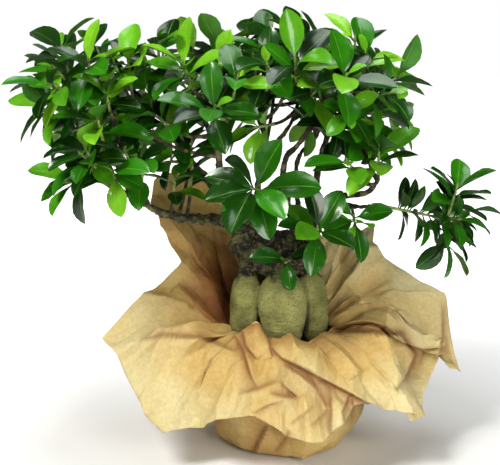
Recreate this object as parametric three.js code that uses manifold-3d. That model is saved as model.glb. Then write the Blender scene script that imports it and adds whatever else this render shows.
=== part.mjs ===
// A ficus bonsai with swollen roots. It stands in a plain pot of soil, inside a sheet of brown wrapping
// paper that is gathered round the pot and falls open in four corners. Millimetres, +Z up, the origin in
// the middle of the flat base that the wrapped pot rests on, and -Y towards the front.
import * as THREE from "three";
import { mergeVertices } from "three/addons/utils/BufferGeometryUtils.js";
import Module from "manifold-3d";

const wasm = await Module();
wasm.setup();

// Driving sizes
const FIT_GAP = 0.3; // what touches a neighbour stays this far from it
const PAPER_THICK = 1.5;
const POT = {
  stand: 1.8, // above the surface, on the paper
  bottom: 58,
  top: 75,
  rim: 77,
  rimDrop: 12,
  height: 122,
  wall: 2.4,
  floor: 3,
  sides: 22,
};
const SOIL_BELOW_RIM = 9;
const GOLDEN_ANGLE = THREE.MathUtils.degToRad(137.5);
const LEAF = {
  width: 0.54, // as a share of the length
  thick: 1.3,
  petiole: 1.3,
  clear: 1.1,
  tries: 10,
};
const SHOOT = { radius: 2.2, tip: 1.3 };

// Materials
const finish = (color, roughness) => new THREE.MeshStandardMaterial({ color, roughness, metalness: 0 });
const FINISH = {
  paper: finish(0xd9b277, 0.8),
  pot: finish(0x3a2c25, 0.55),
  soil: finish(0x2b2019, 0.95),
  bark: finish(0x8f8a63, 0.85),
  leaf: finish(0x2f7d1c, 0.35),
};

// Small tools
const vec = (x, y, z) => new THREE.Vector3(x, y, z);
const mix = (a, b, t) => a + (b - a) * t;
const radians = THREE.MathUtils.degToRad;
const between = (from, to, x) => THREE.MathUtils.clamp((x - from) / (to - from), 0, 1);

// A repeatable draw from 0 to 1 for a pair of numbers.
function chance(a, b) {
  const s = Math.sin(a * 12.9898 + b * 78.233) * 43758.5453;
  return s - Math.floor(s);
}

function geometryOf(points, faces) {
  const geometry = new THREE.BufferGeometry().setFromPoints(points);
  geometry.setIndex(faces.flat());
  return geometry;
}

function solidOf(geometry) {
  const bare = geometry.clone();
  for (const name of ["normal", "uv"]) bare.deleteAttribute(name);
  const merged = mergeVertices(bare, 1e-4);
  return new wasm.Manifold(
    new wasm.Mesh({
      numProp: 3,
      vertProperties: merged.attributes.position.array,
      triVerts: new Uint32Array(merged.index.array),
    }),
  );
}

function meshOf(name, solid, material) {
  const { numProp, numVert, vertProperties, triVerts } = solid.getMesh();
  const points = [];
  for (let i = 0; i < numVert; i++) {
    points.push(vec(...vertProperties.subarray(i * numProp, i * numProp + 3)));
  }
  const mesh = new THREE.Mesh(geometryOf(points, [Array.from(triVerts)]), material);
  mesh.geometry.computeVertexNormals();
  mesh.name = name;
  return mesh;
}

// Rings of points joined into one closed skin, with a cap or a single point at each end. The second half
// of each ring is split the other way, so that a blade's upper and lower faces are split alike.
function skin(rings) {
  const faces = [];
  let start = 0;
  for (let ring = 0; ring + 1 < rings.length; ring++) {
    const [a, b] = [rings[ring].length, rings[ring + 1].length];
    const next = start + a;
    let i = a === 1 ? 1 : 0;
    let j = b === 1 ? 1 : 0;
    while (i < a || j < b) {
      const [one, two] = [start + (i % a), next + (j % b)];
      const ahead = i / a - j / b;
      if (i < a && (j === b || ahead < 0 || (ahead === 0 && 2 * i < a))) {
        i += 1;
        faces.push([one, start + (i % a), two]);
      } else {
        j += 1;
        faces.push([one, next + (j % b), two]);
      }
    }
    start = next;
  }
  const cap = (first, count, flip) => {
    for (let j = 1; j + 1 < count; j++) {
      faces.push(flip ? [first, first + j + 1, first + j] : [first, first + j, first + j + 1]);
    }
  };
  if (rings[0].length > 1) cap(0, rings[0].length, true);
  if (rings.at(-1).length > 1) cap(start, rings.at(-1).length, false);
  return geometryOf(rings.flat(), faces);
}

// A round stem along a curve. radiusAt(t) gives its radius, and a radius of 0 at the end makes a point.
function stem(curve, radiusAt, sides, steps) {
  const frames = curve.computeFrenetFrames(steps, false);
  const rings = [];
  for (let i = 0; i <= steps; i++) {
    const t = i / steps;
    const centre = curve.getPointAt(t);
    const radius = radiusAt(t);
    const ring = [];
    for (let j = 0; j < sides && radius > 0; j++) {
      const a = (2 * Math.PI * j) / sides;
      const out = frames.normals[i].clone().multiplyScalar(Math.cos(a) * radius);
      ring.push(out.addScaledVector(frames.binormals[i], Math.sin(a) * radius).add(centre));
    }
    rings.push(ring.length ? ring : [centre]);
  }
  return skin(rings);
}

// A swollen root or a burr: a round body about a leaning axis, whose girth follows sin(pi * t ** fat). A root is
// also rounded off at its shoulders and narrows towards its foot.
function bulb({ at, radii, lean = [0, 0], fat = 1, sides = 12, rings = 9, lobes = 0.035, turn = 0 }) {
  const [rx, ry, rz] = radii;
  const skins = [];
  for (let i = 0; i <= rings; i++) {
    const t = i / rings;
    const height = -Math.cos(Math.PI * t);
    const level = at[2] + rz * height;
    const shoulder = fat > 1 ? ROOT_FORM.rounding * between(...ROOT_FORM.shoulder, level) ** 2 : 0;
    const foot = fat > 1 ? ROOT_FORM.taper * between(...ROOT_FORM.foot, level) ** 2 : 0;
    const girth = Math.sin(Math.PI * Math.pow(t, fat)) * Math.sqrt(1 - shoulder) * (1 - foot);
    const centre = vec(at[0] + lean[0] * height, at[1] + lean[1] * height, level);
    const ring = [];
    for (let j = 0; j < sides; j++) {
      const a = (2 * Math.PI * j) / sides;
      const swell = girth * (1 + lobes * Math.cos(3 * a + turn));
      ring.push(vec(rx * swell * Math.cos(a), ry * swell * Math.sin(a), 0).add(centre));
    }
    skins.push(i === 0 || i === rings ? [centre] : ring);
  }
  return skin(skins);
}

// Pot and soil
function makePot() {
  const { stand: base, bottom, top, rim, rimDrop, height, wall, floor, sides } = POT;
  const shoulder = height - rimDrop;
  const profile = [
    [0, base],
    [bottom, base],
    [top, base + shoulder],
    [rim, base + shoulder],
    [rim, base + height],
    [rim - wall, base + height],
    [bottom - wall, base + floor],
    [0, base + floor],
  ];
  const outline = profile.map(([r, z]) => new THREE.Vector2(r, z));
  return new THREE.LatheGeometry(outline, sides).rotateX(Math.PI / 2);
}

const SOIL_TOP = POT.stand + POT.height - SOIL_BELOW_RIM;
const SOCKET = { wide: 0.42, deep: 60 }; // round the foot of a root, as a share of the root's width

function makeSoil() {
  const inside = (z) => {
    const share = (z - POT.stand - POT.floor) / (POT.height - POT.floor);
    return mix(POT.bottom - POT.wall, POT.rim - POT.wall, share) - FIT_GAP;
  };
  const low = POT.stand + POT.floor + FIT_GAP;
  const profile = [
    [0, low],
    [inside(low), low],
    [inside(SOIL_TOP - 4), SOIL_TOP - 4],
    [inside(SOIL_TOP) - 8, SOIL_TOP + 1],
    [30, SOIL_TOP + 3],
    [0, SOIL_TOP + 4],
  ];
  const outline = profile.map(([r, z]) => new THREE.Vector2(r, z));
  const ball = solidOf(new THREE.LatheGeometry(outline, POT.sides).rotateX(Math.PI / 2));
  return ROOTS.reduce((left, { at, radii, lean }) => {
    const socket = new THREE.CylinderGeometry(1, 1, SOCKET.deep, 10).rotateX(Math.PI / 2);
    socket.scale(SOCKET.wide * radii[0] + 1, SOCKET.wide * radii[1] + 1, 1);
    const foot = at[2] - radii[2] - 2;
    socket.translate(at[0] - 0.75 * lean[0], at[1] - 0.75 * lean[1], foot + SOCKET.deep / 2);
    return left.subtract(solidOf(socket));
  }, ball);
}

// Swollen roots and the burrs where the crown was grafted on. The two roots at the back have fewer faces.
const FEWER = { sides: 10, rings: 8 };
const ROOT_FORM = {
  shoulder: [206, 236], // between these heights the roots round off under the burrs
  rounding: 0.85,
  foot: [170, 130], // and between these they narrow towards the soil
  taper: 0.35,
};
const ROOTS = [
  { at: [-54, -12, 167], radii: [20, 22, 78], lean: [4, 5], fat: 1.35, turn: 1 },
  { at: [-3, -27, 167], radii: [31.5, 28, 78], lean: [-2, 8], fat: 1.4, turn: 2 },
  { at: [36, 0, 167], radii: [21.5, 23, 78], lean: [-7, 2], fat: 1.35, turn: 0 },
  { at: [-29, 29, 166], radii: [25, 23, 78], lean: [4, -8], fat: 1.35, turn: 4, ...FEWER },
  { at: [16, 34, 166], radii: [22, 20, 78], lean: [-5, -9], fat: 1.35, turn: 5, ...FEWER },
];
const BURRS = [
  { at: [-8, 1, 252], radii: [46, 32, 31] },
  { at: [14, -18, 254], radii: [19, 15, 17], lean: [3, 0] },
  { at: [-24, -22, 252], radii: [17, 13, 17], lean: [0, 2] },
  { at: [-52, -2, 268], radii: [21, 19, 26], lean: [-3, 0] },
];

// Woody limbs. Each follows its points and tapers between two radii.
const LIMBS = {
  left_trunk: {
    radii: [19, 8.5],
    sides: 8,
    points: [[-42, 0, 232], [-50, 0, 262], [-52, 0, 285], [-50, 4, 304]],
  },
  right_trunk: {
    radii: [14, 7.5],
    sides: 7,
    points: [[14, 5, 246], [26, 3, 268], [40, 0, 292], [51, 0, 312]],
  },
  low: {
    radii: [8.5, 2.8],
    points: [
      [-50, 0, 286], [-85, -5, 299], [-125, -20, 303], [-160, -35, 315], [-195, -50, 338],
      [-220, -60, 352],
    ],
  },
  upper: {
    radii: [7.5, 2.6],
    points: [
      [-50, 4, 296], [-75, 10, 320], [-100, 20, 345], [-120, 20, 366], [-140, 20, 395],
      [-165, 10, 422], [-208, 0, 442], [-252, -10, 452],
    ],
  },
  fork: {
    radii: [3.8, 2.4],
    points: [[-138, 20, 392], [-145, 30, 420], [-155, 30, 455], [-165, 18, 482]],
  },
  centre_left: {
    radii: [6, 2.6],
    points: [
      [-48, 0, 298], [-70, -20, 335], [-84, -36, 365], [-86, -42, 392], [-95, -45, 415],
      [-103, -42, 438], [-98, -28, 465], [-88, -14, 488],
    ],
  },
  middle: {
    radii: [5, 2.6],
    points: [
      [-36, 6, 262], [-37, 14, 325], [-34, 20, 358], [-26, 20, 388], [-29, 24, 415],
      [-26, 24, 442], [-26, 14, 478],
    ],
  },
  middle_fork: {
    radii: [3.4, 2.3],
    points: [[-27, 20, 386], [-10, 15, 400], [4, 5, 420], [13, -10, 445], [14, -32, 474]],
  },
  front: {
    radii: [5, 2.5],
    points: [
      [14, 2, 262], [2, -2, 325], [-4, -10, 360], [0, -20, 384], [14, -30, 400], [28, -40, 424],
      [40, -50, 452], [52, -64, 474],
    ],
  },
  back: {
    radii: [4, 2.4],
    points: [
      [28, 6, 272], [17, 38, 315], [15, 54, 350], [20, 60, 374], [34, 65, 388], [54, 68, 418],
      [74, 62, 450],
    ],
  },
  right: {
    radii: [5, 2.6],
    points: [
      [49, 0, 306], [40, -5, 330], [40, -10, 360], [46, -12, 390], [58, -16, 424],
      [76, -16, 450], [94, -16, 470],
    ],
  },
  right_side: {
    radii: [5.2, 2.8],
    points: [[50, 0, 308], [66, -6, 328], [85, -18, 334], [104, -34, 341], [114, -46, 358]],
  },
  right_low: {
    radii: [4.6, 2.6],
    points: [[54, -2, 318], [72, -12, 321], [92, -26, 320], [108, -33, 322]],
  },
};

function limbCurve({ points }) {
  return new THREE.CatmullRomCurve3(points.map((p) => vec(...p)), false, "centripetal");
}

const limbRadius = ({ radii }) => (t) => mix(radii[0], radii[1], t);

// Leafy shoots: where each grows from its limb, the middle of its leaves, and how many leaves it has.
// Then come the leaves' length, the shoot's length and how strongly it turns up.
const SHOOTS = [
  ["left_01", "upper", 1, [-278, -8, 503], 7, 58, 36, 0.9],
  ["left_02", "upper", 0.93, [-240, -62, 492], 7, 60, 36, 0.6],
  ["left_03", "upper", 0.96, [-282, -50, 470], 6, 56, 32, 0.4],
  ["left_04", "upper", 0.98, [-294, 0, 444], 7, 56, 36, 0],
  ["left_05", "upper", 0.74, [-195, -40, 487], 7, 60, 36, 0.9],
  ["left_06", "fork", 1, [-158, 2, 501], 6, 56, 34, 0.9],
  ["left_07", "low", 0.92, [-226, -98, 428], 7, 60, 36, 0.5],
  ["left_08", "low", 1, [-238, -84, 388], 8, 60, 38, 0.2],
  ["left_09", "upper", 0.76, [-212, -34, 434], 5, 54, 30, 0.3],
  ["left_10", "fork", 0.55, [-186, 56, 470], 6, 56, 34, 0.6],
  ["left_11", "low", 0.78, [-180, -66, 362], 5, 54, 30, 0],
  ["left_12", "upper", 0.9, [-276, 62, 477], 7, 56, 36, 0.6],
  ["left_13", "upper", 0.86, [-272, 66, 420], 6, 56, 36, 0.2],
  ["left_14", "upper", 0.8, [-240, 104, 462], 7, 58, 36, 0.5],
  ["left_15", "upper", 0.6, [-204, 64, 404], 6, 54, 34, 0.3],
  ["left_16", "centre_left", 0.62, [-150, -66, 432], 6, 56, 34, 0.5],
  ["left_17", "upper", 0.45, [-146, -12, 376], 4, 42, 26, 0.4],
  ["left_18", "low", 0.55, [-142, -44, 346], 4, 44, 26, 0.6],
  ["left_19", "low", 0.96, [-232, 2, 384], 5, 54, 32, 0.5],
  ["middle_01", "centre_left", 0.86, [-122, -56, 488], 7, 60, 36, 0.8],
  ["middle_02", "centre_left", 1, [-84, -6, 505], 6, 56, 34, 0.9],
  ["middle_03", "centre_left", 0.68, [-90, -108, 446], 8, 64, 36, 0.5],
  ["middle_04", "middle", 1, [-27, -12, 511], 7, 56, 34, 0.9],
  ["middle_05", "middle", 0.9, [-26, -72, 492], 6, 58, 34, 0.6],
  ["middle_06", "middle_fork", 1, [8, -88, 497], 7, 60, 36, 0.7],
  ["middle_07", "middle", 0.84, [-62, 22, 474], 5, 52, 32, 0.7],
  ["middle_08", "fork", 0.8, [-130, 62, 490], 6, 56, 34, 0.7],
  ["middle_09", "middle", 0.8, [-76, 88, 489], 6, 56, 34, 0.7],
  ["middle_10", "middle", 0.72, [-38, 78, 462], 6, 54, 34, 0.5],
  ["middle_11", "fork", 0.6, [-108, 118, 456], 7, 58, 36, 0.4],
  ["middle_12", "middle_fork", 0.8, [-6, -28, 466], 4, 50, 30, 0.5],
  ["middle_13", "middle", 0.95, [8, 58, 496], 6, 56, 34, 0.7],
  ["right_01", "middle_fork", 0.9, [12, -2, 513], 5, 52, 34, 0.9],
  ["right_02", "front", 0.94, [40, -34, 509], 6, 54, 36, 0.9],
  ["right_03", "front", 1, [62, -102, 482], 7, 60, 36, 0.6],
  ["right_04", "right", 1, [94, -44, 497], 6, 58, 36, 0.7],
  ["right_05", "right", 0.95, [124, -8, 474], 7, 58, 36, 0.3],
  ["right_06", "front", 0.8, [66, -66, 432], 5, 54, 32, 0.3],
  ["right_07", "right", 0.82, [114, 22, 436], 6, 54, 34, 0.1],
  ["right_08", "back", 1, [88, 52, 490], 6, 56, 36, 0.8],
  ["right_09", "right_side", 1, [112, -66, 384], 5, 62, 34, 0.8],
  ["right_10", "right", 0.62, [84, -38, 404], 5, 54, 32, 0.3],
  ["right_11", "back", 0.86, [54, 112, 462], 7, 56, 36, 0.5],
  ["right_12", "back", 0.7, [38, 28, 450], 4, 48, 30, 0.6],
  ["right_13", "back", 0.94, [122, 82, 462], 7, 56, 36, 0.3],
  ["heart_01", "front", 0.3, [-38, -118, 358], 8, 72, 34, 0.1],
  ["heart_02", "right_trunk", 0.75, [36, -96, 300], 7, 60, 32, 0.7],
  ["heart_03", "right_trunk", 0.4, [2, -84, 264], 4, 44, 24, 0.2],
  ["heart_04", "right_low", 0.55, [84, -56, 310], 4, 52, 24, -0.1],
  ["reach", "right_low", 1, [158, -39, 316], 13, 46, 92, -0.1],
  ["reach", "reach", 0.97, [208, -46, 330], 9, 54, 34, 0.4],
  ["reach", "reach", 0.9, [202, -38, 286], 7, 50, 32, -0.5],
];

// The woody plant: roots, burrs, limbs and a twig to the foot of every green shoot, grown as one
function shootAxis([, limb, along, middle, , , length, rise]) {
  const parent = LIMBS[limb] ? null : shootAxis(SHOOTS.find(([name]) => name === limb));
  const from = parent
    ? parent.foot.clone().addScaledVector(parent.axis, along * parent.length)
    : limbCurve(LIMBS[limb]).getPointAt(along);
  const axis = vec(...middle).sub(from).normalize().multiplyScalar(1 - 0.6 * Math.abs(rise));
  axis.z += 0.6 * rise;
  axis.normalize();
  const foot = vec(...middle).addScaledVector(axis, -length / 2);
  return { from, axis, foot, length, side: parent !== null };
}

// The stalk from a limb to the foot of a shoot. Where the shoot is a side shoot, it is green and grown on.
function twig({ from, axis, foot, side }) {
  const end = foot.clone().addScaledVector(axis, side ? 1 : -FIT_GAP);
  const bend = end.clone().addScaledVector(axis, -0.5 * end.distanceTo(from));
  return stem(new THREE.QuadraticBezierCurve3(from, bend, end), (t) => mix(2.6, 2, t), 3, 2);
}

function makePlant(shoots) {
  const limbs = Object.values(LIMBS).map((limb) => {
    const sides = limb.sides ?? (limb.radii[0] > 4.5 ? 5 : 4);
    return stem(limbCurve(limb), limbRadius(limb), sides, limb.points.length - 1);
  });
  const burrs = BURRS.map((burr) => bulb({ ...burr, lobes: 0, sides: 8, rings: 6 }));
  const pieces = [...ROOTS.map(bulb), ...burrs, ...limbs, ...shoots.filter(({ side }) => !side).map(twig)];
  return { pieces, solid: pieces.map(solidOf).reduce((whole, piece) => whole.add(piece)) };
}

// Leaves. A leaf is a thin lens along a spine that bends evenly away from its upper face.
function leafPlace(shoot, number, leaf, tries) {
  const [, , , middle, count, size] = SHOOTS[number];
  const { axis, foot, length } = shoot;
  const draw = (salt) => chance(number * 17 + leaf + 1, salt + 7 * tries) - 0.5;
  const share = (leaf + 0.5) / count;
  const root = foot.clone().addScaledVector(axis, length * mix(0.3, 1, share));
  const side = vec(-axis.y, axis.x, 0.01).normalize();
  const other = axis.clone().cross(side);
  const turn = leaf * GOLDEN_ANGLE + number * 2.1 + draw(1) * (0.5 + 0.25 * tries);
  const open = radians(mix(84, 34, share) + draw(2) * (14 + 8 * tries));
  const along = axis.clone().multiplyScalar(Math.cos(open));
  along.addScaledVector(side, Math.sin(open) * Math.cos(turn));
  along.addScaledVector(other, Math.sin(open) * Math.sin(turn));
  const light = axis.clone().multiplyScalar(0.4).add(vec(0, 0, 0.7));
  light.add(vec(middle[0] + 20, middle[1], 0).normalize().multiplyScalar(0.35));
  light.addScaledVector(along.clone().cross(light), 0.5 * draw(3));
  const face = light.addScaledVector(along, -light.dot(along)).normalize();
  return {
    root,
    along,
    face,
    side: along.clone().cross(face),
    length: size * (1 + 0.24 * draw(4)) * (tries > 7 ? 0.8 : 1),
    arch: radians(28 + 30 * draw(5)),
    fold: 0.12 + 0.16 * draw(6),
  };
}

// Half the width of a blade at a share of the leaf's length: the petiole first, then the obovate blade.
function leafHalfWidth(t, length) {
  const blade = Math.max(0, (t - 0.15) / 0.85);
  return (LEAF.width * length * Math.pow(Math.sin(Math.PI * Math.pow(blade, 1.3)), 0.75)) / 2;
}

function leafPoint({ root, along, face, side, length, arch, fold }, t, across, lift) {
  const bend = arch * t;
  const out = (length * Math.sin(bend)) / arch;
  const down = (length * (1 - Math.cos(bend))) / arch;
  const point = root.clone().addScaledVector(along, out).addScaledVector(face, -down);
  const up = face.clone().multiplyScalar(Math.cos(bend)).addScaledVector(along, Math.sin(bend));
  return point.addScaledVector(side, across).addScaledVector(up, lift + fold * Math.abs(across));
}

// The skin of a leaf from a share of its length onwards, made larger all round by extra.
function leafSkin(place, from, extra) {
  const ring = (t, wide, thick) => [
    leafPoint(place, t, -wide - extra, 0),
    leafPoint(place, t, 0, thick / 2 + extra),
    leafPoint(place, t, wide + extra, 0),
    leafPoint(place, t, 0, -thick / 2 - extra),
  ];
  const blade = (t) => ring(t, leafHalfWidth(t, place.length), LEAF.thick);
  const tip = [leafPoint(place, 1 + extra / place.length, 0, 0)];
  if (from > 0) return skin([blade(from), blade(0.44), blade(0.78), tip]);
  const [left, top, right] = ring(0.15, LEAF.petiole, LEAF.petiole);
  return skin([[leafPoint(place, -0.02, 0, 0)], [left, top, right], blade(0.44), blade(0.78), tip]);
}

// Whether two skins cross: whether an edge of one runs through a face of the other.
function boxed(geometry) {
  geometry.computeBoundingBox();
  const points = geometry.attributes.position;
  const index = geometry.index.array;
  const faces = [];
  for (let i = 0; i < index.length; i += 3) {
    const corners = [0, 1, 2].map((k) => vec().fromBufferAttribute(points, index[i + k]));
    faces.push({ corners, box: new THREE.Box3().setFromPoints(corners) });
  }
  return { box: geometry.boundingBox, faces };
}

const RAY = new THREE.Ray();
const HIT = vec(0, 0, 0);

function pierces(from, to, [a, b, c]) {
  const reach = from.distanceTo(to);
  RAY.set(from, HIT.subVectors(to, from).divideScalar(reach).clone());
  return RAY.intersectTriangle(a, b, c, false, HIT) !== null && HIT.distanceTo(from) <= reach;
}

function crosses(one, two) {
  if (!one.box.intersectsBox(two.box)) return false;
  const nearOne = one.faces.filter((face) => face.box.intersectsBox(two.box));
  const nearTwo = two.faces.filter((face) => face.box.intersectsBox(one.box));
  const edgeHits = ({ corners }, other) =>
    corners.some((corner, k) => pierces(corner, corners[(k + 1) % 3], other.corners));
  return nearOne.some((p) =>
    nearTwo.some((q) => p.box.intersectsBox(q.box) && (edgeHits(p, q) || edgeHits(q, p))),
  );
}

// The leafy shoots. A leaf that would cross a neighbour is bent clear of it, and left out if it can't be.
function makeShoots(shoots, obstacles) {
  const stems = shoots.map((shoot) => {
    const tip = shoot.foot.clone().addScaledVector(shoot.axis, shoot.length);
    const line = new THREE.LineCurve3(shoot.foot, tip);
    const green = stem(line, (t) => mix(SHOOT.radius, SHOOT.tip, t), 4, 1);
    return shoot.side ? [green, twig(shoot)] : [green];
  });
  const placed = stems.map((pieces) => pieces.map(boxed));
  const rest = obstacles.map(boxed);
  const clear = (number, place) => {
    const whole = boxed(leafSkin(place, 0, LEAF.clear));
    const blade = boxed(leafSkin(place, 0.3, 0.3));
    const free = (others, mine) => !others.some((other) => crosses(mine, other));
    return free(rest, whole) && placed.every((others, i) => free(others, i === number ? blade : whole));
  };
  const solids = {};
  shoots.forEach((shoot, number) => {
    const [name, , , , count] = SHOOTS[number];
    const pieces = [...stems[number]];
    for (let leaf = 0; leaf < count; leaf++) {
      const tries = [...Array(LEAF.tries).keys()];
      const places = tries.map((count) => leafPlace(shoot, number, leaf, count));
      const place = places.find((candidate) => clear(number, candidate));
      if (!place) continue;
      pieces.push(leafSkin(place, 0, 0));
      placed[number].push(boxed(pieces.at(-1)));
    }
    const grown = pieces.map(solidOf);
    if (solids[name]) grown.unshift(solids[name]);
    solids[name] = grown.reduce((whole, piece) => whole.add(piece));
  });
  return solids;
}

// The paper wrap. It is flat under the pot, bulges round it, is gathered at a neck above the rim and falls
// open from there. Each row of HEM is one direction, the slope at which the paper leaves the neck there, and how
// far out and how high its hem is.
const WRAP = {
  columns: 48,
  bagStep: 32,
  flareRows: 6,
  neckShift: -4,
  gather: 2.6,
  gatherFade: 55,
  leave: 0.4, // how far the profile keeps its first slope, as a share of its span
  arrive: 0.62, // where it is pulled towards on its way to the hem, along the span
  crown: 0.1, // and how far above the span
};
const BAG = [[61, PAPER_THICK], [79, 13], [98, 44], [98, 83], [90, 120], [70, 153]]; // its inner face
const HEM = [
  [-90, 18, 160, 62],
  [-75, 20, 174, 58],
  [-68, 16, 182, 76],
  [-61, 14, 172, 98],
  [-52, 14, 176, 98],
  [-44, 16, 184, 76],
  [-38, 18, 194, 62],
  [-31, 20, 210, 72],
  [-24, 24, 202, 94],
  [-15, 28, 202, 106],
  [-8, 30, 214, 138],
  [0, 32, 236, 82],
  [6, 34, 230, 142],
  [10, 38, 228, 190],
  [15, 44, 194, 204],
  [22, 52, 152, 234],
  [30, 56, 146, 250],
  [38, 60, 164, 272],
  [52, 66, 128, 258],
  [90, 75, 104, 248],
  [112, 74, 112, 276],
  [127, 72, 130, 326],
  [137, 66, 172, 350],
  [146, 60, 212, 330],
  [154, 58, 200, 294],
  [161, 60, 176, 262],
  [167, 62, 138, 232],
  [173, 50, 160, 210],
  [180, 40, 185, 196],
  [187, 30, 238, 148],
  [194, 26, 220, 132],
  [202, 22, 213, 107],
  [209, 16, 206, 84],
  [213, 12, 204, 68],
  [219, 8, 194, 52],
  [226, 6, 176, 65],
  [234, 6, 162, 72],
  [247, 36, 154, 80],
  [256, 34, 153, 84],
  [264, 24, 156, 74],
];

// The profile from the neck to the hem in one direction, outwards and up from the neck. It turns over early.
function flare(degrees) {
  const next = Math.max(1, HEM.findIndex(([direction]) => direction >= degrees - 1e-9));
  const [a, b] = [HEM[next - 1], HEM[next]];
  const [leave, out, up] = [1, 2, 3].map((k) => mix(a[k], b[k], between(a[0], b[0], degrees)));
  const chord = new THREE.Vector2(out, up).sub(new THREE.Vector2(...BAG.at(-1)));
  const neck = new THREE.Vector2(0, 0);
  const first = new THREE.Vector2(WRAP.leave * chord.length(), 0).rotateAround(neck, radians(leave));
  const off = new THREE.Vector2(-chord.y, chord.x).multiplyScalar(WRAP.crown);
  const second = chord.clone().multiplyScalar(WRAP.arrive).add(off);
  return new THREE.CubicBezierCurve(neck, first, second, chord);
}

// One ring of the sheet's inner face. The paper is gathered: near the neck every second column is drawn in.
function wrapRing(row) {
  const ring = [];
  const beyond = row - BAG.length + 1;
  for (let j = 0; j < WRAP.columns; j++) {
    const degrees = -90 + (360 * j) / WRAP.columns;
    const profile = flare(degrees);
    const along = Math.max(0, beyond) / WRAP.flareRows;
    const reach = beyond > 0 ? along * profile.v3.length() : beyond * WRAP.bagStep;
    const slope = beyond > 0 ? profile.getTangent(along).angle() : Math.PI / 2;
    const gather = WRAP.gather * Math.exp(-((reach / WRAP.gatherFade) ** 2)) * (j % 2 ? -1 : 1);
    const [bagRadius, bagHeight] = BAG[Math.min(row, BAG.length - 1)];
    const { x, y } = profile.getPoint(along);
    const r = bagRadius + x + gather * Math.sin(slope);
    const z = bagHeight + y - (row > 0 ? gather * Math.cos(slope) : 0);
    const shift = WRAP.neckShift * Math.min(1, row / (BAG.length - 1));
    ring.push(vec(r * Math.cos(radians(degrees)) + shift, r * Math.sin(radians(degrees)), z));
  }
  return ring;
}

// The sheet's two faces, a paper's thickness apart along the inner face's normals, closed round the hem.
// The floor has no middle point: its ears are cut off in turn until one triangle is left round the origin.
function makeWrap() {
  const rings = [];
  for (let row = 0; row < BAG.length + WRAP.flareRows; row++) rings.push(wrapRing(row));
  const inner = rings.flat();
  const n = WRAP.columns;
  const at = (ring, j) => ring * n + ((j + n) % n);
  const faces = [[0, n / 3, (2 * n) / 3]];
  for (let ear = 1; ear < n / 3; ear *= 2) {
    for (let j = 0; j < n; j += 2 * ear) faces.push([at(0, j), at(0, j + ear), at(0, j + 2 * ear)]);
  }
  for (let ring = 0; ring + 1 < rings.length; ring++) {
    for (let j = 0; j < n; j++) {
      const [a, b, c, d] = [at(ring, j), at(ring, j + 1), at(ring + 1, j + 1), at(ring + 1, j)];
      faces.push([a, c, b], [a, d, c]);
    }
  }
  const sheet = geometryOf(inner, faces);
  sheet.computeVertexNormals();
  const normals = sheet.attributes.normal;
  const outer = inner.map((point, i) => {
    const normal = i < n ? vec(0, 0, 1) : vec().fromBufferAttribute(normals, i);
    return point.clone().addScaledVector(normal, -PAPER_THICK);
  });
  const under = faces.map(([a, b, c]) => [a + inner.length, c + inner.length, b + inner.length]);
  const hem = [];
  for (let j = 0; j < n; j++) {
    const [a, b] = [at(rings.length - 1, j), at(rings.length - 1, j + 1)];
    hem.push([a, a + inner.length, b + inner.length], [a, b + inner.length, b]);
  }
  return geometryOf([...inner, ...outer], [...faces, ...under, ...hem]);
}

const shoots = SHOOTS.map(shootAxis);
const plant = makePlant(shoots);
const wrap = makeWrap();
const group = new THREE.Group();
const add = (name, solid, material) => group.add(meshOf(name, solid, material));

add("pot", solidOf(makePot()), FINISH.pot);
add("soil", makeSoil(), FINISH.soil);
add("wrap", solidOf(wrap), FINISH.paper);
add("plant", plant.solid, FINISH.bark);
for (const [name, solid] of Object.entries(makeShoots(shoots, [...plant.pieces, wrap]))) {
  add(`shoot_${name}`, solid, FINISH.leaf);
}

export default group;
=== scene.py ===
"""A ficus bonsai in a pot of soil, gathered in a sheet of brown wrapping paper. Metres, +Z up, -Y to the front."""

import bpy
import numpy as np
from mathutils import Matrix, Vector, kdtree
from mathutils.bvhtree import BVHTree


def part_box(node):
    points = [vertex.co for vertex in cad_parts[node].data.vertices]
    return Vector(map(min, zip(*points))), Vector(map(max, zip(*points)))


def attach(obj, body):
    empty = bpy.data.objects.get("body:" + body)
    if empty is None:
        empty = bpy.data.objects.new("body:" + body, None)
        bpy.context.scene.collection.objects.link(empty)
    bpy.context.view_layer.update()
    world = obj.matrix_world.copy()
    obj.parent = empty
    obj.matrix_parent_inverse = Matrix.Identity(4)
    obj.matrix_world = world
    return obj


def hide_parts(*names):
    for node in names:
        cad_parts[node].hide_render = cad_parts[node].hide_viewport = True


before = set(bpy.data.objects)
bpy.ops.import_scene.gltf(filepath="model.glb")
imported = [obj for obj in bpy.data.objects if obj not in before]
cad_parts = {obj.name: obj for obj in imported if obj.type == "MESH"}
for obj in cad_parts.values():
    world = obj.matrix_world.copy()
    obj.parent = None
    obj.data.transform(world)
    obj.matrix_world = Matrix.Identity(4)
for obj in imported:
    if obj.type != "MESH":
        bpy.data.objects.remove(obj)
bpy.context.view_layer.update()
MM = 0.001  # the points below are in millimetres


# Camera. It looks slightly down at the middle of the plant from the front, as the photograph does.
VIEW_TARGET = Vector((-0.0465, 0, 0.281))
VIEW_DISTANCE = 1.565
VIEW_DOWN = np.radians(12)
LENS = 86.4
SENSOR = 36

camera = bpy.data.objects.new("camera", bpy.data.cameras.new("camera"))
camera.data.lens = LENS
camera.data.sensor_width = SENSOR
toward = Vector((0, -np.cos(VIEW_DOWN), np.sin(VIEW_DOWN)))
camera.location = VIEW_TARGET + VIEW_DISTANCE * toward
camera.rotation_euler = toward.to_track_quat("Z", "Y").to_euler()
bpy.context.scene.collection.objects.link(camera)
bpy.context.scene.camera = camera


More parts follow.
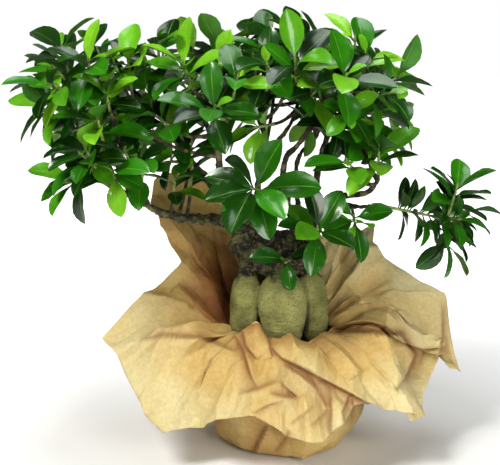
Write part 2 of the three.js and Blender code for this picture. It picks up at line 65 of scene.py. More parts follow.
# Studio. A pale floor that runs out of sight, a pale sky, and three soft square lights that face the plant: high
# on the left, low at the front on the right, and overhead.
FLOOR_HALF = 6.0
FLOOR_COLOUR = (0.92, 0.92, 0.91, 1)
FLOOR_FADE = (0.3, 1.1)  # from here to here, measured from the middle, the floor turns into the white of the sky
SKY_LIGHT = 0.13
SOFT_LIGHTS = [  # name, place, size, power in watts and colour
    ("key light", (-1.2, -1.15, 2.1), 0.7, 53, (1, 0.98, 0.94)),
    ("fill light", (0.8, -1.75, 0.85), 0.9, 24, (1, 0.98, 0.94)),
    ("top light", (0.1, 0.15, 2.3), 1.4, 26, (0.97, 1, 1)),
]


def plain_material(name, colour, roughness):
    """A material with one Principled shader: the material, its nodes, that shader and the place on the piece."""
    material = bpy.data.materials.new(name)
    material.use_nodes = True
    shader = material.node_tree.nodes["Principled BSDF"]
    shader.inputs["Base Color"].default_value = colour
    shader.inputs["Roughness"].default_value = roughness
    place = material.node_tree.nodes.new("ShaderNodeTexCoord").outputs["Object"]
    return material, material.node_tree, shader, place


def add_node(tree, kind, links=None, **values):
    """A node with its properties and unlinked inputs set by name, and its inputs linked from sockets."""
    node = tree.nodes.new("ShaderNode" + kind)
    for name, value in values.items():
        label = name.replace("_", " ")
        if label in node.inputs:
            node.inputs[label].default_value = value
        else:
            setattr(node, name, value)
    for label, socket in (links or {}).items():
        tree.links.new(socket, node.inputs[label])
    return node


def set_or_link(tree, socket, value):
    """Gives an input a plain value, or links another node's output to it."""
    if hasattr(value, "is_output"):
        tree.links.new(value, socket)
    else:
        socket.default_value = value


def calculated(tree, operation, *values, clamp=False):
    """The result of a Math node, each of whose values is a plain number or a socket."""
    node = add_node(tree, "Math", operation=operation, use_clamp=clamp)
    for socket, value in zip(node.inputs, values):
        set_or_link(tree, socket, value)
    return node.outputs[0]


def new_piece(name, points, faces, material, smooth=True):
    """An object at the origin whose mesh has these points and faces."""
    mesh = bpy.data.meshes.new(name)
    mesh.from_pydata(np.asarray(points).tolist(), [], [list(face) for face in faces])
    mesh.materials.append(material)
    mesh.polygons.foreach_set("use_smooth", np.full(len(mesh.polygons), smooth))
    mesh.update()
    piece = bpy.data.objects.new(name, mesh)
    bpy.context.scene.collection.objects.link(piece)
    return piece


world = bpy.data.worlds.new("studio")
world.use_nodes = True
tree = world.node_tree
ray = add_node(tree, "LightPath").outputs  # the sky is white to the camera, soft light on things and dark in gloss
sky_light = calculated(tree, "MULTIPLY_ADD", ray["Is Diffuse Ray"], SKY_LIGHT, ray["Is Camera Ray"])
tree.nodes["Background"].inputs["Color"].default_value = (1, 1, 1, 1)
tree.links.new(sky_light, tree.nodes["Background"].inputs["Strength"])
bpy.context.scene.world = world
bpy.context.scene.view_settings.view_transform = "Standard"

floor_material, tree, shader, place = plain_material("pale floor", FLOOR_COLOUR, 0.9)
away = add_node(tree, "VectorMath", {0: place}, operation="LENGTH").outputs["Value"]
fade = add_node(tree, "MapRange", {"Value": away}, From_Min=FLOOR_FADE[0], From_Max=FLOOR_FADE[1]).outputs["Result"]
glow = calculated(tree, "MULTIPLY", fade, add_node(tree, "LightPath").outputs["Is Camera Ray"])
shader.inputs["Emission Color"].default_value = (1, 1, 1, 1)
tree.links.new(glow, shader.inputs["Emission Strength"])
corners = np.array([[-1, -1, 0], [1, -1, 0], [1, 1, 0], [-1, 1, 0]]) * FLOOR_HALF
floor = new_piece("floor", corners, [(0, 1, 2, 3)], floor_material, smooth=False)

for name, place, size, power, colour in SOFT_LIGHTS:
    light = bpy.data.lights.new(name, "AREA")
    light.size = size
    light.energy = power
    light.color = colour
    holder = bpy.data.objects.new(name, light)
    holder.location = place
    holder.rotation_euler = (Vector(place) - VIEW_TARGET).to_track_quat("Z", "Y").to_euler()
    bpy.context.scene.collection.objects.link(holder)


# Shared finish. Mottle is the soft uneven colour of anything grown, earthen or made of pulp. It is a node group
# that is built once and placed in each material with its own values.
def new_group(name, inputs, outputs):
    """An empty node group with named sockets: inputs are (kind, name, value) and outputs are (kind, name)."""
    group = bpy.data.node_groups.new(name, "ShaderNodeTree")
    for kind, label, value in inputs:
        socket = group.interface.new_socket(label, in_out="INPUT", socket_type=kind)
        socket.default_value = value
    for kind, label in outputs:
        group.interface.new_socket(label, in_out="OUTPUT", socket_type=kind)
    return group, group.nodes.new("NodeGroupInput"), group.nodes.new("NodeGroupOutput")


def ramp(tree, value, *stops):
    """A colour ramp read at value, whose stops are (position, colour)."""
    node = tree.nodes.new("ShaderNodeValToRGB")
    elements = node.color_ramp.elements
    while len(elements) < len(stops):
        elements.new(0.5)
    for element, (position, colour) in zip(elements, stops):
        element.position = position
        element.color = (*colour, 1)
    tree.links.new(value, node.inputs["Fac"])
    return node.outputs["Color"]


mottle, mottle_in, mottle_out = new_group(
    "mottle",
    [("NodeSocketVector", "Place", (0, 0, 0)), ("NodeSocketFloat", "Scale", 20), ("NodeSocketFloat", "Contrast", 2)],
    [("NodeSocketFloat", "Mask")],
)
mottle_noise = add_node(
    mottle, "TexNoise", {"Vector": mottle_in.outputs["Place"], "Scale": mottle_in.outputs["Scale"]}, Detail=5.0
)
mask = calculated(mottle, "SUBTRACT", mottle_noise.outputs["Fac"], 0.5)
mask = calculated(mottle, "MULTIPLY", mask, mottle_in.outputs["Contrast"])
mottle.links.new(calculated(mottle, "ADD", mask, 0.5, clamp=True), mottle_out.inputs["Mask"])


def mottled(tree, place, scale, contrast):
    """The mottle mask of a material, from 0 to 1, with patches about 1/scale metres across."""
    node = tree.nodes.new("ShaderNodeGroup")
    node.node_tree = mottle
    tree.links.new(place, node.inputs["Place"])
    node.inputs["Scale"].default_value = scale
    node.inputs["Contrast"].default_value = contrast
    return node.outputs["Mask"]


def patchy(tree, place, scale, contrast, *stops):
    """Colours in soft patches: a ramp read at the mottle mask."""
    return ramp(tree, mottled(tree, place, scale, contrast), *stops)


def mixed(tree, factor, one, two, mode="MIX"):
    """One colour mixed with another by a factor: each may be a socket or a plain value."""
    node = tree.nodes.new("ShaderNodeMix")
    node.data_type = "RGBA"
    node.blend_type = mode
    for socket, value in zip((node.inputs[0], node.inputs[6], node.inputs[7]), (factor, one, two)):
        set_or_link(tree, socket, (*value, 1) if isinstance(value, tuple) else value)
    return node.outputs[2]


def bumped(tree, shader, height, distance, strength=1.0):
    """A relief of a height map, this many metres deep, on the shader's normal."""
    node = add_node(tree, "Bump", {"Height": height}, Distance=distance, Strength=strength)
    tree.links.new(node.outputs["Normal"], shader.inputs["Normal"])


# The pot. A plain tapered nursery pot of dark brown plastic, moulded with a rolled rim, and hidden by the
# paper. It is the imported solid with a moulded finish.
def finish_solid(name, material):
    """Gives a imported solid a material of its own."""
    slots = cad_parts[name].data.materials
    slots.clear()
    slots.append(material)


pot_material, tree, shader, place = plain_material("moulded pot", (0.05, 0.032, 0.026, 1), 0.5)
pot_colour = patchy(tree, place, 35, 2.0, (0.2, (0.035, 0.022, 0.018)), (0.8, (0.075, 0.05, 0.04)))
tree.links.new(pot_colour, shader.inputs["Base Color"])
bumped(tree, shader, add_node(tree, "TexNoise", {"Vector": place}, Scale=900.0).outputs["Fac"], 0.0002)
finish_solid("pot", pot_material)


# The potting soil. Dark crumbly peat and bark, filled in round the roots and lightly domed.
def grid_faces(rows, columns):
    """Quads between the points of a grid numbered row by row, in which each row joins its own start."""
    i = np.arange(rows - 1)[:, None] * columns
    j = np.arange(columns)[None, :]
    k = (j + 1) % columns
    return np.stack([i + j, i + k, i + columns + k, i + columns + j], -1).reshape(-1, 4)


WAVES = 14


def waves(points, pitch, seed):
    """Smooth noise, mostly from -1 to 1: the sum of sine waves about pitch long, in directions drawn from seed,
    over the square root of twice their number."""
    draw = np.random.default_rng(seed)
    directions = draw.normal(size=(WAVES, points.shape[-1]))
    directions /= np.linalg.norm(directions, axis=1, keepdims=True)
    lengths = pitch * draw.uniform(0.6, 1.6, WAVES)
    phases = draw.uniform(0, 2 * np.pi, WAVES)
    return np.sin(points @ (directions * 2 * np.pi / lengths[:, None]).T + phases).sum(-1) / np.sqrt(WAVES * 2)


SOIL_GAP = 0.001  # to the packed soil's edge
SOIL_DROP = 0.0045  # from its middle to its edge
SOIL_CRUMBS = [(0.0012, 0.012, 3), (0.0009, 0.005, 4)]  # height, pitch and seed
SOIL_SKIRT = 0.02  # how deep its edge goes down
SOIL_RINGS = 60
SOIL_SPOKES = 180

soil_low, soil_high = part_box("soil")
soil_radius = (soil_high.x - soil_low.x) / 2 - SOIL_GAP
around, out = np.meshgrid(np.linspace(0, 2 * np.pi, SOIL_SPOKES, endpoint=False), np.linspace(0, 1, SOIL_RINGS))
soil_bed = np.stack([out * soil_radius * np.cos(around), out * soil_radius * np.sin(around), 0 * out], -1)
soil_bed[..., 2] = soil_high.z - SOIL_DROP * out**2
soil_bed[..., 2] += sum(height * waves(soil_bed[..., :2], pitch, seed) for height, pitch, seed in SOIL_CRUMBS)
soil_skirt = soil_bed[-1:].copy()
soil_skirt[..., 2] = soil_high.z - SOIL_SKIRT
soil_points = np.concatenate([soil_bed, soil_skirt]).reshape(-1, 3)
soil_material, tree, shader, place = plain_material("potting soil", (0.03, 0.02, 0.015, 1), 0.95)
peat = (0.15, (0.008, 0.005, 0.004)), (0.6, (0.04, 0.026, 0.018)), (0.95, (0.14, 0.095, 0.06))
tree.links.new(patchy(tree, place, 260, 3.5, *peat), shader.inputs["Base Color"])
bumped(tree, shader, add_node(tree, "TexVoronoi", {"Vector": place}, Scale=450.0).outputs["Distance"], 0.0015)
soil = new_piece("soil_surface", soil_points, grid_faces(SOIL_RINGS + 1, SOIL_SPOKES), soil_material)
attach(soil, "root")
finish_solid("soil", soil_material)


# The woody plant. Five swollen roots stand on the soil, grown together under the burrs of the graft, where
# two short trunks carry eleven limbs. It is one skin of olive-grey bark, wrinkled on the roots and rough above.
ROOTS = [  # middle, radii, lean, where the girth is fattest, turn of its lobes
    ((-54, -12, 167), (20, 22, 78), (4, 5), 1.35, 1),
    ((-3, -27, 167), (31.5, 28, 78), (-2, 8), 1.4, 2),
    ((36, 0, 167), (21.5, 23, 78), (-7, 2), 1.35, 0),
    ((-29, 29, 166), (25, 23, 78), (4, -8), 1.35, 4),
    ((16, 34, 166), (22, 20, 78), (-5, -9), 1.35, 5),
]
BURRS = [
    ((-8, 1, 252), (46, 32, 31), (0, 0), 1, 0),
    ((14, -18, 254), (19, 15, 17), (3, 0), 1, 2),
    ((-24, -22, 252), (17, 13, 17), (0, 2), 1, 4),
    ((-52, -2, 268), (21, 19, 26), (-3, 0), 1, 1),
]
LIMBS = {  # the radii at its two ends, and the points it follows
    "left_trunk": ((19, 8.5), [(-42, 0, 232), (-50, 0, 262), (-52, 0, 285), (-50, 4, 304)]),
    "right_trunk": ((14, 7.5), [(14, 5, 246), (26, 3, 268), (40, 0, 292), (51, 0, 312)]),
    "low": ((8.5, 2.8), [
        (-50, 0, 286), (-85, -5, 299), (-125, -20, 303), (-160, -35, 315), (-195, -50, 338), (-220, -60, 352),
    ]),
    "upper": ((7.5, 2.6), [
        (-50, 4, 296), (-75, 10, 320), (-100, 20, 345), (-120, 20, 366), (-140, 20, 395), (-165, 10, 422),
        (-208, 0, 442), (-252, -10, 452),
    ]),
    "fork": ((3.8, 2.4), [(-138, 20, 392), (-145, 30, 420), (-155, 30, 455), (-165, 18, 482)]),
    "centre_left": ((6, 2.6), [
        (-48, 0, 298), (-70, -20, 335), (-84, -36, 365), (-86, -42, 392), (-95, -45, 415), (-103, -42, 438),
        (-98, -28, 465), (-88, -14, 488),
    ]),
    "middle": ((5, 2.6), [
        (-36, 6, 262), (-37, 14, 325), (-34, 20, 358), (-26, 20, 388), (-29, 24, 415), (-26, 24, 442),
        (-26, 14, 478),
    ]),
    "middle_fork": ((3.4, 2.3), [(-27, 20, 386), (-10, 15, 400), (4, 5, 420), (13, -10, 445), (14, -32, 474)]),
    "front": ((5, 2.5), [
        (14, 2, 262), (2, -2, 325), (-4, -10, 360), (0, -20, 384), (14, -30, 400), (28, -40, 424), (40, -50, 452),
        (52, -64, 474),
    ]),
    "back": ((4, 2.4), [
        (28, 6, 272), (17, 38, 315), (15, 54, 350), (20, 60, 374), (34, 65, 388), (54, 68, 418), (74, 62, 450),
    ]),
    "right": ((5, 2.6), [
        (49, 0, 306), (40, -5, 330), (40, -10, 360), (46, -12, 390), (58, -16, 424), (76, -16, 450), (94, -16, 470),
    ]),
    "right_side": ((5.2, 2.8), [(50, 0, 308), (66, -6, 328), (85, -18, 334), (104, -34, 341), (114, -46, 358)]),
    "right_low": ((4.6, 2.6), [(54, -2, 318), (72, -12, 321), (92, -26, 320), (108, -33, 322)]),
}

# Leafy shoots: name, the limb each grows from and where along it, the middle of its leaves, how many leaves the
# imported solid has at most, their length, the shoot's length and how strongly it turns up.
SHOOTS = [
    ("left_01", "upper", 1, (-278, -8, 503), 7, 58, 36, 0.9),
    ("left_02", "upper", 0.93, (-240, -62, 492), 7, 60, 36, 0.6),
    ("left_03", "upper", 0.96, (-282, -50, 470), 6, 56, 32, 0.4),
    ("left_04", "upper", 0.98, (-294, 0, 444), 7, 56, 36, 0),
    ("left_05", "upper", 0.74, (-195, -40, 487), 7, 60, 36, 0.9),
    ("left_06", "fork", 1, (-158, 2, 501), 6, 56, 34, 0.9),
    ("left_07", "low", 0.92, (-226, -98, 428), 7, 60, 36, 0.5),
    ("left_08", "low", 1, (-238, -84, 388), 8, 60, 38, 0.2),
    ("left_09", "upper", 0.76, (-212, -34, 434), 5, 54, 30, 0.3),
    ("left_10", "fork", 0.55, (-186, 56, 470), 6, 56, 34, 0.6),
    ("left_11", "low", 0.78, (-180, -66, 362), 5, 54, 30, 0),
    ("left_12", "upper", 0.9, (-276, 62, 477), 7, 56, 36, 0.6),
    ("left_13", "upper", 0.86, (-272, 66, 420), 6, 56, 36, 0.2),
    ("left_14", "upper", 0.8, (-240, 104, 462), 7, 58, 36, 0.5),
    ("left_15", "upper", 0.6, (-204, 64, 404), 6, 54, 34, 0.3),
    ("left_16", "centre_left", 0.62, (-150, -66, 432), 6, 56, 34, 0.5),
    ("left_17", "upper", 0.45, (-146, -12, 376), 4, 42, 26, 0.4),
    ("left_18", "low", 0.55, (-142, -44, 346), 4, 44, 26, 0.6),
    ("left_19", "low", 0.96, (-232, 2, 384), 5, 54, 32, 0.5),
    ("middle_01", "centre_left", 0.86, (-122, -56, 488), 7, 60, 36, 0.8),
    ("middle_02", "centre_left", 1, (-84, -6, 505), 6, 56, 34, 0.9),
    ("middle_03", "centre_left", 0.68, (-90, -108, 446), 8, 64, 36, 0.5),
    ("middle_04", "middle", 1, (-27, -12, 511), 7, 56, 34, 0.9),
    ("middle_05", "middle", 0.9, (-26, -72, 492), 6, 58, 34, 0.6),
    ("middle_06", "middle_fork", 1, (8, -88, 497), 7, 60, 36, 0.7),
    ("middle_07", "middle", 0.84, (-62, 22, 474), 5, 52, 32, 0.7),
    ("middle_08", "fork", 0.8, (-130, 62, 490), 6, 56, 34, 0.7),
    ("middle_09", "middle", 0.8, (-76, 88, 489), 6, 56, 34, 0.7),
    ("middle_10", "middle", 0.72, (-38, 78, 462), 6, 54, 34, 0.5),
    ("middle_11", "fork", 0.6, (-108, 118, 456), 7, 58, 36, 0.4),
    ("middle_12", "middle_fork", 0.8, (-6, -28, 466), 4, 50, 30, 0.5),
    ("middle_13", "middle", 0.95, (8, 58, 496), 6, 56, 34, 0.7),
    ("right_01", "middle_fork", 0.9, (12, -2, 513), 5, 52, 34, 0.9),
    ("right_02", "front", 0.94, (40, -34, 509), 6, 54, 36, 0.9),
    ("right_03", "front", 1, (62, -102, 482), 7, 60, 36, 0.6),
    ("right_04", "right", 1, (94, -44, 497), 6, 58, 36, 0.7),
    ("right_05", "right", 0.95, (124, -8, 474), 7, 58, 36, 0.3),
    ("right_06", "front", 0.8, (66, -66, 432), 5, 54, 32, 0.3),
    ("right_07", "right", 0.82, (114, 22, 436), 6, 54, 34, 0.1),
    ("right_08", "back", 1, (88, 52, 490), 6, 56, 36, 0.8),
    ("right_09", "right_side", 1, (112, -66, 384), 5, 62, 34, 0.8),
    ("right_10", "right", 0.62, (84, -38, 404), 5, 54, 32, 0.3),
    ("right_11", "back", 0.86, (54, 112, 462), 7, 56, 36, 0.5),
    ("right_12", "back", 0.7, (38, 28, 450), 4, 48, 30, 0.6),
    ("right_13", "back", 0.94, (122, 82, 462), 7, 56, 36, 0.3),
    ("heart_01", "front", 0.3, (-38, -118, 358), 8, 72, 34, 0.1),
    ("heart_02", "right_trunk", 0.75, (36, -96, 300), 7, 60, 32, 0.7),
    ("heart_03", "right_trunk", 0.4, (2, -84, 264), 4, 44, 24, 0.2),
    ("heart_04", "right_low", 0.55, (84, -56, 310), 4, 52, 24, -0.1),
    ("reach", "right_low", 1, (158, -39, 316), 13, 46, 92, -0.1),
    ("reach", "reach", 0.97, (208, -46, 330), 9, 54, 34, 0.4),
    ("reach", "reach", 0.9, (202, -38, 286), 7, 50, 32, -0.5),
]


def along_points(points, shares):
    """Points at shares of the length of the smooth curve through some points: a centripetal Catmull-Rom spline."""
    p = np.asarray(points, float)
    p = np.vstack([2 * p[0] - p[1], p, 2 * p[-1] - p[-2]])
    gap = np.maximum(np.linalg.norm(np.diff(p, axis=0), axis=1) ** 0.5, 1e-4)[:, None]

    def at(t):
        t = np.asarray(t) * (len(p) - 3)
        i = np.minimum(t.astype(int), len(p) - 4)
        u = (t - i)[:, None]
        a, b, c, d = (p[i + k] for k in range(4))
        before, here, after = (gap[i + k] for k in range(3))
        leave = ((b - a) / before - (c - a) / (before + here) + (c - b) / here) * here
        arrive = ((c - b) / here - (d - b) / (here + after) + (d - c) / after) * here
        cubic = 2 * b - 2 * c + leave + arrive
        square = -3 * b + 3 * c - 2 * leave - arrive
        return b + u * (leave + u * (square + u * cubic))

    steps = np.linspace(0, 1, 201)
    lengths = np.r_[0, np.cumsum(np.linalg.norm(np.diff(at(steps), axis=0), axis=1))]
    return at(np.interp(np.asarray(shares) * lengths[-1], lengths, steps))


def capped(rows, sides):
    """The faces of a grid of rings, closed by one face at each end."""
    ends = [list(range(sides))[::-1], [(rows - 1) * sides + j for j in range(sides)]]
    return grid_faces(rows, sides).tolist() + ends


def tube(centres, radii, sides):
    """Points and faces of a round stem: circles of the given radii square to a line of centres, closed at its ends."""
    tangent = np.gradient(centres, axis=0)
    tangent /= np.linalg.norm(tangent, axis=1, keepdims=True)
    mean = tangent.mean(0)
    across = np.cross(tangent, np.eye(3)[np.argmin(np.abs(mean))])
    across /= np.linalg.norm(across, axis=1, keepdims=True)
    third = np.cross(tangent, across)
    angle = np.linspace(0, 2 * np.pi, sides, endpoint=False)[None, :, None]
    ring = np.cos(angle) * across[:, None] + np.sin(angle) * third[:, None]
    points = centres[:, None] + np.asarray(radii).reshape(len(centres), -1, 1) * ring
    return points.reshape(-1, 3), capped(len(centres), sides)


BULB_ROWS = 60
BULB_SIDES = 72
ROOT_LOBES = 0.035  # how far three soft lobes swell out round a root, as a share of its width
BURR_LOBES = 0.07
SHOULDERS = (206, 236, 0.85)  # between these heights the roots round off under the graft, and by how much
TAPER = (170, 130, 0.35)  # and between these they narrow towards the soil
UNEVEN = (0.9, 38)  # the depth and pitch of their uneven growth


def bulb(middle, radii, lean, fat, turn, lobes):
    """A swollen root or burr: ellipses stacked along a leaning axis, their girth following sin(pi * t ** fat), and
    on the roots also a quarter of an ellipse that rounds their shoulders and a square that narrows their feet."""
    t = np.linspace(0.004, 0.996, BULB_ROWS)
    angle = np.linspace(0, 2 * np.pi, BULB_SIDES, endpoint=False)
    height = -np.cos(np.pi * t)
    girth = np.sin(np.pi * t**fat)
    if fat > 1:
        level = middle[2] + radii[2] * height
        shoulder, foot = (np.clip((level - first) / (last - first), 0, 1) for first, last, _ in (SHOULDERS, TAPER))
        girth *= np.sqrt(1 - SHOULDERS[2] * shoulder**2) * (1 - TAPER[2] * foot**2)
    girth = girth[:, None] * (1 + lobes * np.cos(3 * angle + turn))[None, :]
    points = np.stack(
        [
            middle[0] + lean[0] * height[:, None] + radii[0] * girth * np.cos(angle),
            middle[1] + lean[1] * height[:, None] + radii[1] * girth * np.sin(angle),
            np.repeat(middle[2] + radii[2] * height[:, None], BULB_SIDES, 1),
        ],
        -1,
    ).reshape(-1, 3)
    depth, pitch = UNEVEN
    points += depth * np.c_[waves(points, pitch, 5), waves(points, pitch, 6), np.zeros(len(points))]
    return points, capped(BULB_ROWS, BULB_SIDES)


def root_depth(points, middle, radii):
    """How far out points lie in a root, taken as an ellipsoid a little longer than it: 0 in its middle, 1 on it."""
    return np.linalg.norm((points - middle) / (np.array(radii) * (1, 1, 1.2)), axis=1)


def joined(parts):
    """Several sets of points and faces as one."""
    points, faces, start = [], [], 0
    for part_points, part_faces in parts:
        points.append(part_points)
        faces += [[corner + start for corner in face] for face in part_faces]
        start += len(part_points)
    return np.concatenate(points), faces


KNOT_STEP = 2.2  # between the circles of a limb
SCAR_PITCH = (11, 17)
SCAR_SWELL = 0.16
LIMB_UNEVEN = (0.08, 30)


def knotted(length, start, end, seed):
    """Radii along a limb from its two ends' radii, with a swelling at each old leaf scar, by cos(length) ** 6."""
    t = np.linspace(0, 1, max(8, int(length / KNOT_STEP)))
    draw = np.random.default_rng(seed)
    pitch = draw.uniform(*SCAR_PITCH)
    scars = np.clip(np.cos(2 * np.pi * t * length / pitch + draw.uniform(0, 6)), 0, 1) ** 6
    uneven = LIMB_UNEVEN[0] * waves(t[:, None] * length, LIMB_UNEVEN[1], seed + 1)
    return t, (start + (end - start) * t) * (1 + SCAR_SWELL * scars + uneven)


TURN_UP = 0.6  # how far a shoot that turns up fully is drawn to the upright


def shoot_axis(row):
    """Where a shoot leaves its limb, its direction, its foot and its length, as three vectors and a number."""
    _, limb, along, middle, _, _, length, rise = row
    if limb in LIMBS:
        start = along_points(LIMBS[limb][1], [along])[0]
    else:
        _, parent, foot, reach = shoot_axis(next(r for r in SHOOTS if r[0] == limb))
        start = foot + along * reach * parent
    axis = np.array(middle, float) - start
    axis *= (1 - TURN_UP * abs(rise)) / np.linalg.norm(axis)
    axis[2] += TURN_UP * rise
    axis /= np.linalg.norm(axis)
    return start, axis, np.array(middle) - axis * length / 2, length


LIMB_SIDES = 12

trunk_parts = [bulb(*root, ROOT_LOBES) for root in ROOTS] + [bulb(*burr, BURR_LOBES) for burr in BURRS]
for seed, (radii, points) in enumerate(LIMBS.values(), 20):
    span = np.linalg.norm(np.diff(np.array(points, float), axis=0), axis=1).sum()
    t, girth = knotted(span, *radii, seed)
    trunk_parts.append(tube(along_points(points, t), girth, LIMB_SIDES))
trunk_points, trunk_faces = joined(trunk_parts)

RAGGED = 0.075  # how ragged the edges between the colours of the roots, the burrs and the limbs are
BURR_COLOUR_FROM = (0.257, 0.266)  # the levels between which it comes in: a height and a part of RAGGED, by a noise
LIMB_COLOUR_FROM = (0.315, 0.355)

bark_material, tree, shader, place = plain_material("bark", (0.3, 0.27, 0.17, 1), 0.85)
height = add_node(tree, "SeparateXYZ", {"Vector": place}).outputs["Z"]
ragged = add_node(tree, "TexNoise", {"Vector": place}, Scale=38.0, Detail=6.0).outputs["Fac"]
level = calculated(tree, "MULTIPLY_ADD", ragged, RAGGED, height)
rough_part, limb_part = (
    add_node(tree, "MapRange", {"Value": level}, From_Min=low, From_Max=high).outputs["Result"]
    for low, high in (BURR_COLOUR_FROM, LIMB_COLOUR_FROM)
)
squash = add_node(tree, "Mapping", {"Vector": place}, Scale=(70, 70, 520))
wrinkle = add_node(tree, "TexNoise", {"Vector": squash.outputs[0]}, Scale=1.0, Detail=5.0, Distortion=1.6)
olive = (0.1, (0.155, 0.15, 0.04)), (0.5, (0.27, 0.272, 0.08)), (0.9, (0.43, 0.435, 0.15))
root_colour = patchy(tree, place, 38, 1.7, *olive)
in_wrinkles = ramp(tree, wrinkle.outputs["Fac"], (0.3, (0.42, 0.36, 0.22)), (0.6, (1, 1, 1)))
root_colour = mixed(tree, 0.5, root_colour, in_wrinkles, "MULTIPLY")
specks = patchy(tree, place, 480, 5.0, (0.86, (0, 0, 0)), (1.0, (0.5, 0.5, 0.5)))
root_colour = mixed(tree, specks, root_colour, (0.07, 0.05, 0.02))
dark_crust = (0.25, (0.005, 0.004, 0.002)), (0.7, (0.022, 0.017, 0.006)), (0.95, (0.1, 0.088, 0.03))
burr_colour = patchy(tree, place, 210, 4.5, *dark_crust)
moss = patchy(tree, place, 45, 3.6, (0.55, (0, 0, 0)), (0.95, (0.85, 0.85, 0.85)))
mossy = ramp(tree, wrinkle.outputs["Fac"], (0.35, (0.03, 0.032, 0.006)), (0.65, (0.16, 0.17, 0.05)))
burr_colour = mixed(tree, moss, burr_colour, mossy)
brown = (0.2, (0.014, 0.01, 0.005)), (0.6, (0.05, 0.04, 0.018)), (0.95, (0.15, 0.145, 0.055))
limb_colour = patchy(tree, place, 100, 3.5, *brown)
bark_colour = mixed(tree, rough_part, root_colour, mixed(tree, limb_part, burr_colour, limb_colour))
# Painted shade where the roots meet, read from a number kept for each point.
painted_join_shade = add_node(tree, "Attribute", attribute_name="painted_join_shade").outputs["Fac"]
bark_colour = mixed(tree, painted_join_shade, bark_colour, (0.022, 0.018, 0.007))
tree.links.new(bark_colour, shader.inputs["Base Color"])
crust = add_node(tree, "TexVoronoi", {"Vector": place}, Scale=190.0).outputs["Distance"]
relief = add_node(tree, "Mix", {0: rough_part})
tree.links.new(wrinkle.outputs["Fac"], relief.inputs[2])
tree.links.new(crust, relief.inputs[3])
bumped(tree, shader, relief.outputs[0], 0.0011)


def per_point(piece, name, values):
    """Keeps a number for each of a piece's points, which its material reads."""
    piece.data.attributes.new(name, "FLOAT", "POINT").data.foreach_set("value", values)


VOXEL = 0.0016
EASE = (0.6, 3)  # how strongly and how often the joined skin is smoothed
ROUGH_FROM = (0.222, 0.02)  # the height where the rough bark starts, and over how much it comes in
ROUGH_TO = (0.33, 0.04, 0.25)  # and where it ends, over how much it goes, and what stays on the limbs
ROUGH_RELIEF = [(0.0024, 0.013, 31), (0.0016, 0.0055, 32)]  # depth, pitch and seed
RING_STRETCH = (0.25, 0.25, 1)  # the fine rings of the roots run round them
RING_RELIEF = (0.00035, 0.0045, 33)
ROOT_RELIEF = (0.0007, 0.02, 34)
JOIN_SHADE = (1.16, 0.12, 0.85)  # the painted shade where two roots meet: how far out in a second root it ends, over how much, and how dark it is
JOIN_SHADE_TOP = (0.236, 0.02)

trunk = new_piece("trunk_and_roots", trunk_points * MM, trunk_faces, bark_material)
remesh = trunk.modifiers.new("grown together", "REMESH")
remesh.mode = "VOXEL"
remesh.voxel_size = VOXEL
remesh.use_smooth_shade = True
ease = trunk.modifiers.new("ease", "SMOOTH")
ease.factor, ease.iterations = EASE
grown = bpy.data.meshes.new_from_object(trunk.evaluated_get(bpy.context.evaluated_depsgraph_get()))
trunk.modifiers.clear()
trunk.data = grown
skin, normals = np.empty((2, len(grown.vertices) * 3))
grown.vertices.foreach_get("co", skin)
grown.vertices.foreach_get("normal", normals)
skin, normals = skin.reshape(-1, 3), normals.reshape(-1, 3)
above = np.clip((skin[:, 2] - ROUGH_FROM[0]) / ROUGH_FROM[1], 0, 1)
rough = above * np.clip((ROUGH_TO[0] - skin[:, 2]) / ROUGH_TO[1], ROUGH_TO[2], 1)
raised = sum(depth * rough * waves(skin, pitch, seed) for depth, pitch, seed in ROUGH_RELIEF)
for stretch, (depth, pitch, seed) in ((RING_STRETCH, RING_RELIEF), ((1, 1, 1), ROOT_RELIEF)):
    raised += depth * (1 - above) * waves(skin * np.array(stretch), pitch, seed)
grown.vertices.foreach_set("co", (skin + normals * raised[:, None]).ravel())
# Painted shade: below the graft, the bark is darker where a point lies close inside a second root, where the roots
# meet.
second_root = np.sort([root_depth(skin / MM, *root[:2]) for root in ROOTS], axis=0)[1]
join_shade = np.clip((JOIN_SHADE[0] - second_root) / JOIN_SHADE[1], 0, 1) * JOIN_SHADE[2]
join_shade *= np.clip((JOIN_SHADE_TOP[0] - skin[:, 2]) / JOIN_SHADE_TOP[1], 0, 1)
per_point(trunk, "painted_join_shade", join_shade)
grown.update()
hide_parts("plant")
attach(trunk, "root")


# The twigs. Each leafy shoot stands on a thin twig of the same wood, which bends up from its limb and is knotted
# at its old leaf scars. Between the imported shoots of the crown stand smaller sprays, which fill it inwards.
SPRAYS_PER_SHOOT = 2
SPRAY_SEED = 27
SPRAY_LEAVES = 6
SPRAY_OFFSET = 34
SPRAY_INWARD = 16
CROWN_MIDDLES = {"left": (-190, 10, 425), "middle": (-60, 0, 450), "right": (70, 0, 440)}
WINDOW = ((-45, 75), (270, 415))  # the span of x and z that stays open, so that the limbs show
PLACED_SPRAYS = [  # written like the shoots above: at the end of the far shoot, and low on the left
    ("spray_reach", "reach", 0.8, (202, -62, 312), 8, 46, 24, 0.1),
    ("spray_reach", "reach", 0.95, (222, -30, 312), 8, 48, 26, 0),
    ("spray_reach", "reach", 0.9, (208, -28, 290), 7, 46, 24, -0.5),
    ("spray_left", "low", 1, (-254, -80, 362), 7, 58, 32, -0.3),
    ("spray_left", "low", 0.94, (-212, -98, 374), 7, 60, 30, -0.2),
]
TWIG_RADII = (2.6, 2.0)
TWIG_POINTS = 24
TWIG_SIDES = 8

